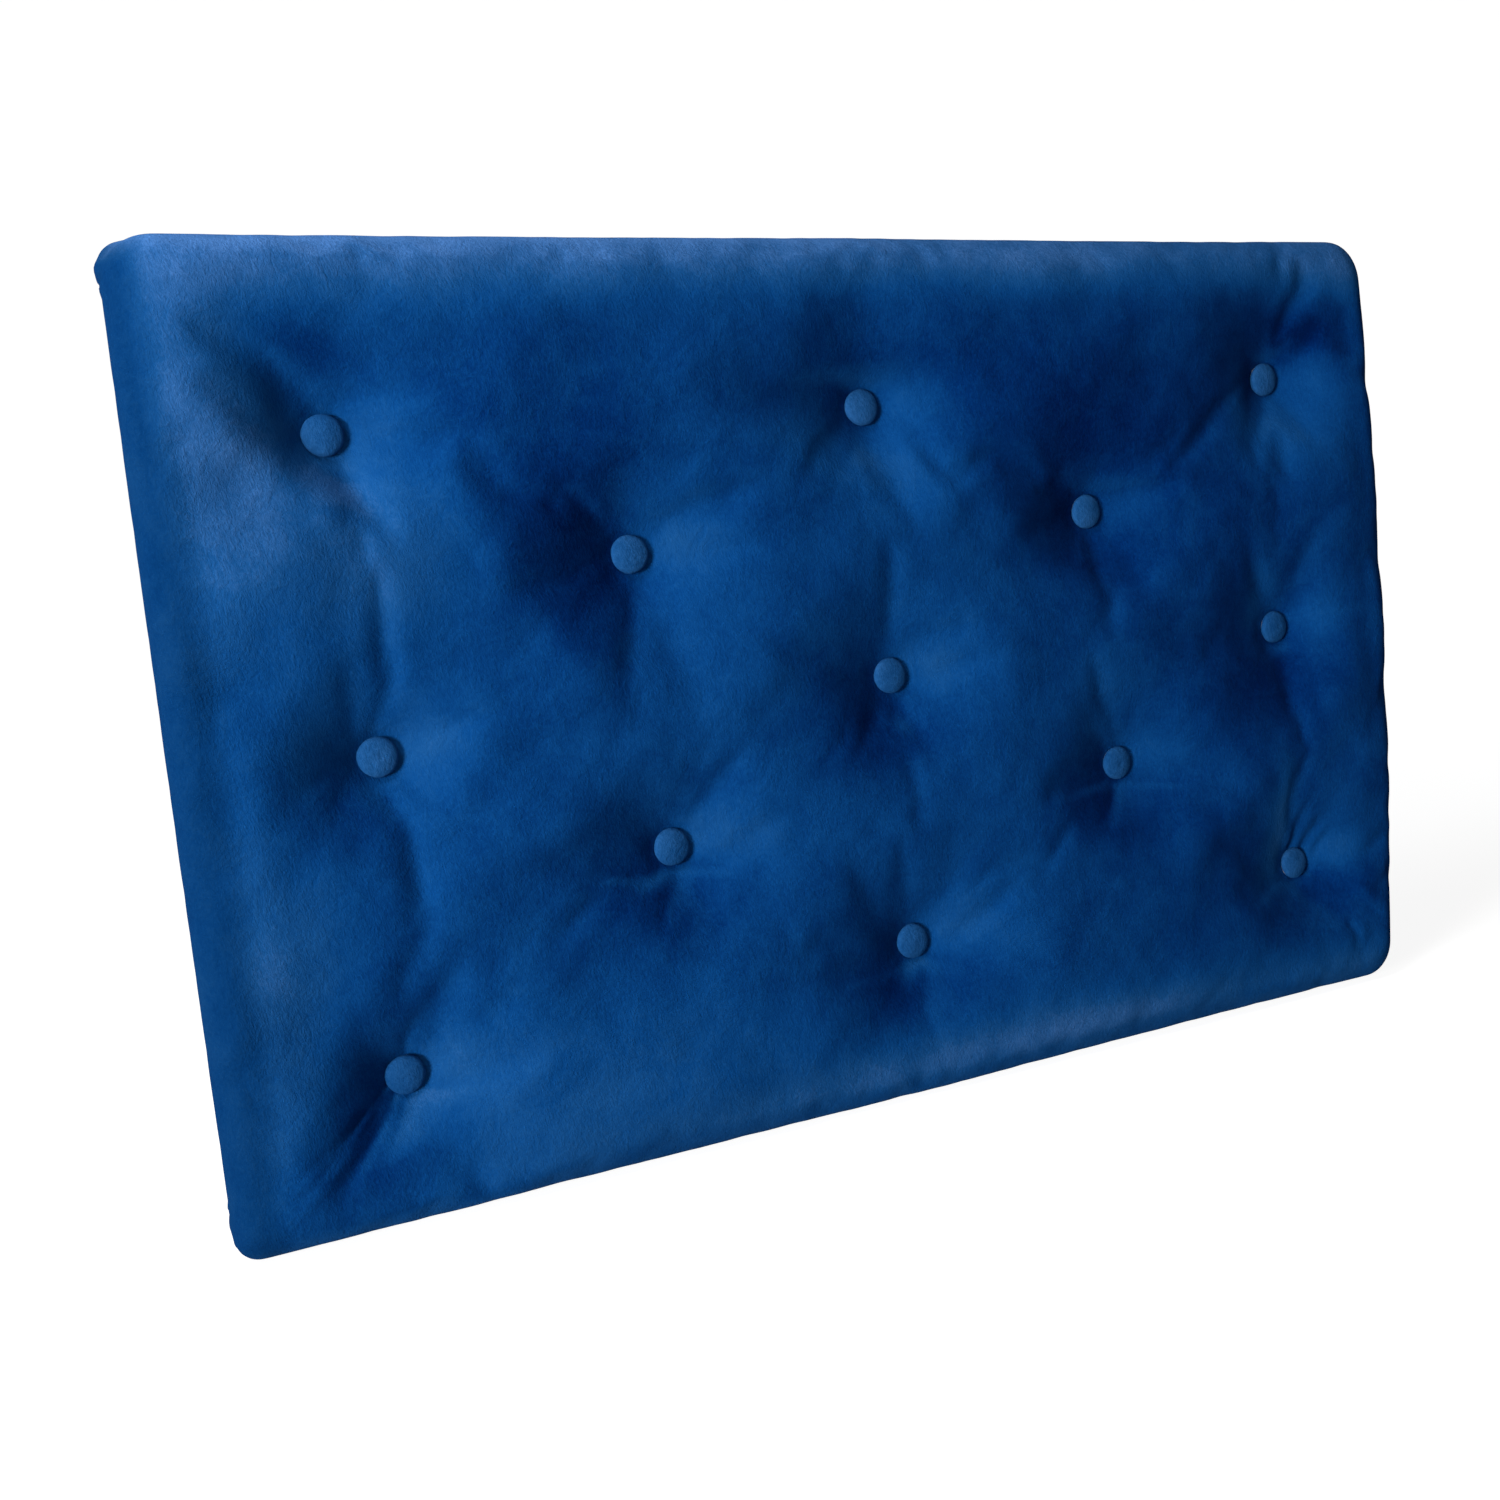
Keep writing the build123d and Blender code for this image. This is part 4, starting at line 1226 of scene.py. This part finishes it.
def sheet_depth(x, z):
    """How far the sheet lies from the wall plane: tight at the staples, slack elsewhere."""
    near = np.min([np.hypot(x - staple_x, z - staple_z) for staple_x, staple_z, _ in back_staples], axis=0)
    held = np.exp(-(near / pucker_reach) ** 2)
    inset = np.minimum(half_width - np.abs(x), half_height - np.abs(z))
    bay = np.clip((inset - bay_inset) / bay_fade, 0, 1)
    folds = waves(x, z, count=26, short=60, long=190, height=0.5, seed=21)
    puckers = waves(x, z, count=26, short=14, long=34, height=0.5, seed=22)
    slack = np.minimum(0.35 + 0.30 * folds + 0.12 * puckers, most_slack)
    sag = bay_sag * bay * (0.6 + 0.4 * waves(x, z, count=8, short=160, long=320, height=0.6, seed=23))
    for bolt_x, bolt_z in bolt_places:
        sag *= 1 - np.exp(-(np.hypot(x - bolt_x, z - bolt_z) / bolt_reach) ** 2)
    return np.clip(least_depth + staple_pull * held + slack * (1 - held) + sag, least_depth, most_depth)


def on_the_sheet(x, z):
    """Points of the cloth's outside in metres, for arrays of places."""
    deep = panel_depth / 2 - sheet_depth(x, z)
    return (np.stack([x, deep, z + middle_height], -1) * mm).tolist()


def sheet_places():
    """The places of the sheet's grid, with those outside its round corners pulled in."""
    half_columns, half_rows = (math.ceil(half / cell) for half in sheet_half)
    xs = np.clip(np.arange(-half_columns, half_columns + 1) * cell, -sheet_half[0], sheet_half[0])
    zs = np.clip(np.arange(-half_rows, half_rows + 1) * cell, -sheet_half[1], sheet_half[1])
    x, z = (g.copy() for g in np.meshgrid(xs, zs))
    straight_x, straight_z = (half - sheet_corner for half in sheet_half)
    over_x, over_z = np.abs(x) - straight_x, np.abs(z) - straight_z
    out = np.hypot(np.maximum(over_x, 0), np.maximum(over_z, 0))
    past = (over_x > 0) & (over_z > 0) & (out > sheet_corner)
    pull = np.where(past, sheet_corner / np.maximum(out, 1e-6), 1)
    x = np.where(past, np.sign(x) * (straight_x + over_x * pull), x)
    z = np.where(past, np.sign(z) * (straight_z + over_z * pull), z)
    return x, z


def back_sheet():
    """The back cloth: a fine grid with four round holes in it, and a thickness."""
    x, z = sheet_places()
    rows, columns = x.shape
    body = bmesh.new()
    grid = [[body.verts.new(point) for point in line] for line in on_the_sheet(x, z)]
    middles = [(round(bolt_x / cell) + columns // 2, round(bolt_z / cell) + rows // 2)
               for bolt_x, bolt_z in bolt_places]
    for row in range(rows - 1):
        for column in range(columns - 1):
            from_holes = [max(abs(column + 0.5 - c), abs(row + 0.5 - r)) for c, r in middles]
            if min(from_holes) < hole_cells:
                continue
            body.faces.new([grid[row][column], grid[row + 1][column], grid[row + 1][column + 1],
                            grid[row][column + 1]])
    steps = range(-hole_cells, hole_cells)
    for (c, r), (hole_x, hole_z) in zip(middles, bolt_places):
        square = [(c + k, r - hole_cells) for k in steps] + [(c + hole_cells, r + k) for k in steps]
        square += [(c - k, r + hole_cells) for k in steps] + [(c - hole_cells, r - k) for k in steps]
        angles = np.array([math.atan2(up - r, across - c) for across, up in square])
        rim_x, rim_z = hole_x + bolt_hole * np.cos(angles), hole_z + bolt_hole * np.sin(angles)
        rim = [body.verts.new(point) for point in on_the_sheet(rim_x, rim_z)]
        outer = [grid[up][across] for across, up in square]
        for k in range(len(square)):
            after = (k + 1) % len(square)
            body.faces.new([outer[k], outer[after], rim[after], rim[k]])
    loose = [v for v in body.verts if not v.link_faces]
    bmesh.ops.delete(body, geom=loose, context="VERTS")
    bmesh.ops.recalc_face_normals(body, faces=body.faces)
    mesh = bpy.data.meshes.new("back_cloth")
    body.to_mesh(mesh)
    body.free()
    if mesh.polygons[0].normal.y < 0:
        mesh.flip_normals()
    sheet = added("back_cloth", mesh)
    solid = sheet.modifiers.new("Solidify", "SOLIDIFY")
    solid.thickness = cloth_thickness * mm
    solid.offset = -1
    solid.use_rim = True
    shade_smoothly(keep_result(sheet, solid))
    sheet.data.materials.append(finishes["black_spunbond"])
    return sheet


sheet = back_sheet()
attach(sheet, "root")
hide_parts("dust_cover")
print("back sheet", len(sheet.data.polygons), "faces")

# %% [markdown]
# ## Staples
# A staple is a flat wire bent twice. Thirty-eight of them hold the back cloth, all alike but none quite
# straight, which is work for Geometry Nodes: one wire is drawn in the tree and put on every point, with
# its turn read from the point and a small seeded tilt.

# %% Metals


def wire_finish(name, dark, light, roughness):
    flow, place, feed = new_finish(name, metallic=1.0)
    drawn = flow.noise(flow.turned(place, (1400, 1400, 1400)), 1.0, 2.0, 0.6)
    dull = flow.noise(place, 160.0, 3.0, 0.6).ramp(0.35, 0.7)
    feed("Base Color", (drawn * 0.4 + dull * 0.6).tint(dark, light))
    feed("Roughness", roughness + dull * 0.22)
    feed("Normal", flow.bump(drawn, 0.25, 0.0001))


wire_finish("staple_wire", (0.42, 0.42, 0.43), (0.68, 0.68, 0.69), 0.28)
wire_finish("button_aluminium", (0.55, 0.56, 0.57), (0.80, 0.80, 0.81), 0.35)

flow, place, feed = new_finish("zinc_steel", metallic=1.0)
spangle = flow.node("ShaderNodeTexVoronoi", {}, {"Vector": place, "Scale": 420.0})
film = flow.noise(place, 90.0, 3.0, 0.6).ramp(0.3, 0.7)
feed("Base Color", (spangle * 0.5 + film * 0.5).tint((0.40, 0.42, 0.44), (0.66, 0.68, 0.70)))
feed("Roughness", 0.30 + film * 0.25)
feed("Normal", flow.bump(spangle + film, 0.2, 0.0002))
print("staple wire, aluminium and zinc plate")

# %% Staples by Geometry Nodes


def tree_socket(tree, name, kind, value):
    """Add a named input to a tree and give back its identifier."""
    socket = tree.interface.new_socket(name=name, in_out="INPUT", socket_type=kind)
    if value is not None:
        socket.default_value = value
    return socket.identifier


def staple_tree(material):
    """Points in, wire staples out. Each point's "along" attribute says which way its crown runs."""
    tree = bpy.data.node_groups.new("wire_staples", "GeometryNodeTree")
    tree_socket(tree, "Points", "NodeSocketGeometry", None)
    names = {}
    for name, value in (("Crown length", 0.01), ("Leg length", 0.006), ("Wire width", 0.0012),
                        ("Wire thickness", 0.0005), ("Bend radius", 0.0007), ("Tilt in degrees", 3.0)):
        names[name] = tree_socket(tree, name, "NodeSocketFloat", value)
    names["Seed"] = tree_socket(tree, "Seed", "NodeSocketInt", 5)
    tree.interface.new_socket(name="Geometry", in_out="OUTPUT", socket_type="NodeSocketGeometry")
    given = tree.nodes.new("NodeGroupInput")

    def entry(name):
        return Flow(tree, given.outputs[name])

    flow = Flow(tree)
    index = flow.node("GeometryNodeInputIndex")
    side = flow.node("FunctionNodeCompare", {"data_type": "INT", "operation": "GREATER_THAN"},
                     {2: index, 3: 1})
    end = flow.node("FunctionNodeCompare", {"data_type": "INT", "operation": "EQUAL"},
                    {2: flow.maths("MODULO", index, 3.0), 3: 0})
    x = (side - 0.5) * entry("Crown length")
    z = end * entry("Leg length") * -1.0
    corner = flow.node("ShaderNodeCombineXYZ", {}, {0: x, 2: z})
    line = flow.node("GeometryNodeMeshLine", {}, {"Count": 4})
    line = flow.node("GeometryNodeSetPosition", {}, {"Geometry": line, "Position": corner})
    wire = flow.node("GeometryNodeMeshToCurve", {}, {"Mesh": line})
    wire = flow.node("GeometryNodeFilletCurve", {"mode": "POLY"},
                     {"Curve": wire, "Radius": entry("Bend radius"), "Count": 3})
    section = flow.node("GeometryNodeCurvePrimitiveQuadrilateral", {"mode": "RECTANGLE"},
                        {"Width": entry("Wire thickness"), "Height": entry("Wire width")})
    solid = flow.node("GeometryNodeCurveToMesh", {},
                      {"Curve": wire, "Profile Curve": section, "Fill Caps": True})
    along = flow.node("GeometryNodeInputNamedAttribute", {"data_type": "FLOAT_VECTOR"}, {"Name": "along"})
    aim = flow.node("FunctionNodeAxesToRotation", {"primary_axis": "Z", "secondary_axis": "X"},
                    {0: (0, 1, 0), 1: along})
    angle = entry("Tilt in degrees") * math.radians(1)
    low = flow.node("ShaderNodeCombineXYZ", {}, {2: angle * -1.0})
    high = flow.node("ShaderNodeCombineXYZ", {}, {2: angle})
    spin = flow.node("FunctionNodeRandomValue", {"data_type": "FLOAT_VECTOR"},
                     {0: low, 1: high, "Seed": entry("Seed")})
    spin = flow.node("FunctionNodeEulerToRotation", {}, {0: spin})
    aim = flow.node("FunctionNodeRotateRotation", {"rotation_space": "LOCAL"}, {0: aim, 1: spin})
    placed = flow.node("GeometryNodeInstanceOnPoints", {}, {"Points": entry("Points"), "Instance": solid,
                                                            "Rotation": aim})
    real = flow.node("GeometryNodeRealizeInstances", {}, {0: placed})
    done = flow.node("GeometryNodeSetMaterial", {}, {"Geometry": real, "Material": material})
    out = tree.nodes.new("NodeGroupOutput")
    tree.links.new(done.socket, out.inputs[0])
    return tree, names


def made_by_nodes(name, points, along, tree, values):
    """Put a node tree on some points and keep its result as a plain mesh."""
    mesh = bpy.data.meshes.new(name)
    mesh.from_pydata(points, [], [])
    attribute = mesh.attributes.new("along", "FLOAT_VECTOR", "POINT")
    attribute.data.foreach_set("vector", np.array(along, np.float32).ravel())
    piece = added(name, mesh)
    modifier = piece.modifiers.new("Nodes", "NODES")
    modifier.node_group = tree
    for identifier, value in values.items():
        modifier[identifier] = value
    keep_result(piece, modifier)
    return piece


staples_tree, staple_inputs = staple_tree(finishes["staple_wire"])
# the crown's middle plane, and the wire's sizes in metres
crown_place = panel_depth / 2 - 0.30
staple_values = {"Crown length": 0.0095, "Leg length": 0.0058, "Wire width": 0.0012,
                 "Wire thickness": 0.0005, "Bend radius": 0.0007, "Tilt in degrees": 5.0, "Seed": 5}
staple_points = [(x * mm, crown_place * mm, (z + middle_height) * mm) for x, z, up in back_staples]
staple_along = [(0, 0, 1) if up else (1, 0, 0) for _, _, up in back_staples]
staples = made_by_nodes("back_cloth_staples", staple_points, staple_along, staples_tree,
                        {staple_inputs[name]: value for name, value in staple_values.items()})
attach(staples, "root")
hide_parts("dust_cover_staples")
print("staples:", len(staple_points), "with", len(staples.data.polygons), "faces")

# %% [markdown]
# ## Finishes of the frame
# The CAD already has the right shapes for the battens, the board, the fasteners, the shells and the
# twine, so these nodes stay and only get a finish. Pine shows long grain along each batten, so every
# batten has its own direction and its own place in the pattern.

# %% Pine, hardboard and twine


def pine_finish(name, upright, seed):
    """Sawn pine with its grain along X, or along Z."""
    flow, place, feed = new_finish(name, specular_ior_level=0.3)
    turn = (0, math.pi / 2, 0) if upright else (0, 0, 0)
    board = flow.turned(place, (1, 1, 1), turn, (seed * 3.1, seed * 0.7, seed * 1.9))
    bent = flow.noise(flow.turned(board, (2.2, 14, 14)), 1.0, 2.0, 0.5)
    rings = flow.node("ShaderNodeTexWave", {"wave_type": "RINGS", "rings_direction": "X"},
                      {"Vector": flow.turned(board, (0.35, 16, 16), shift=(0, 0.35, 0.2)), "Scale": 1.6,
                       "Distortion": 6.0, "Detail": 2.0, "Detail Scale": 0.7})
    fibres = flow.noise(flow.turned(board, (26, 1300, 1300)), 1.0, 3.0, 0.6)
    saw = flow.noise(flow.turned(board, (420, 30, 30)), 1.0, 1.0, 0.5).ramp(0.35, 0.7)
    tone = rings * 0.45 + bent * 0.25 + fibres * 0.22 + saw * 0.08
    grain = flow.node("ShaderNodeValToRGB", {"stops": [(0.15, (0.74, 0.52, 0.28)), (0.55, (0.64, 0.41, 0.19)),
                                                       (0.90, (0.42, 0.22, 0.08))]}, {0: tone})
    feed("Base Color", grain)
    feed("Roughness", 0.66 + fibres * 0.2)
    feed("Normal", flow.bump(fibres + saw * 0.5, 0.4, 0.0004))
    return finishes[name]


flow, place, feed = new_finish("brown_hardboard", specular_ior_level=0.35)
chips = flow.noise(flow.turned(place, (700, 700, 700)), 1.0, 4.0, 0.7)
cloud = flow.noise(place, 22.0, 3.0, 0.6).ramp(0.3, 0.7)
feed("Base Color", (chips * 0.6 + cloud * 0.4).tint((0.14, 0.065, 0.028), (0.30, 0.155, 0.075)))
feed("Roughness", 0.45 + chips * 0.3)
feed("Normal", flow.bump(chips, 0.3, 0.0003))

flow, place, feed = new_finish("waxed_twine", roughness=0.6, specular_ior_level=0.4)
lay = flow.node("ShaderNodeTexWave", {"bands_direction": "DIAGONAL"}, {"Vector": place, "Scale": 520.0,
                                                                       "Distortion": 1.5})
feed("Base Color", lay.tint((0.44, 0.40, 0.32), (0.78, 0.74, 0.64)))
feed("Normal", flow.bump(lay, 0.6, 0.0002))
print("hardboard and twine")

# %% Finishes onto the CAD nodes
pine_boards = {"top_rail": False, "bottom_rail": False, "left_stile": True, "right_stile": True,
               "left_upright": True, "right_upright": True}
node_finishes = {name: pine_finish("pine_" + name, upright, seed)
                 for seed, (name, upright) in enumerate(pine_boards.items(), start=1)}
node_finishes["face_board"] = finishes["brown_hardboard"]
for name in ("tee_nuts", "frame_screws"):
    node_finishes[name] = finishes["zinc_steel"]
for name in ("face_board_staples", "cover_staples", "twine_staples"):
    node_finishes[name] = finishes["staple_wire"]
for number in range(1, len(tufts) + 1):
    node_finishes[f"button_core_{number:02d}"] = finishes["button_aluminium"]
    node_finishes[f"tufting_twine_{number:02d}"] = finishes["waxed_twine"]
for name, finish in node_finishes.items():
    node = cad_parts[name]
    if not node.material_slots:
        node.data.materials.append(finish)
    for material_slot in node.material_slots:
        material_slot.material = finish
print(len(node_finishes), "CAD nodes have a finish")
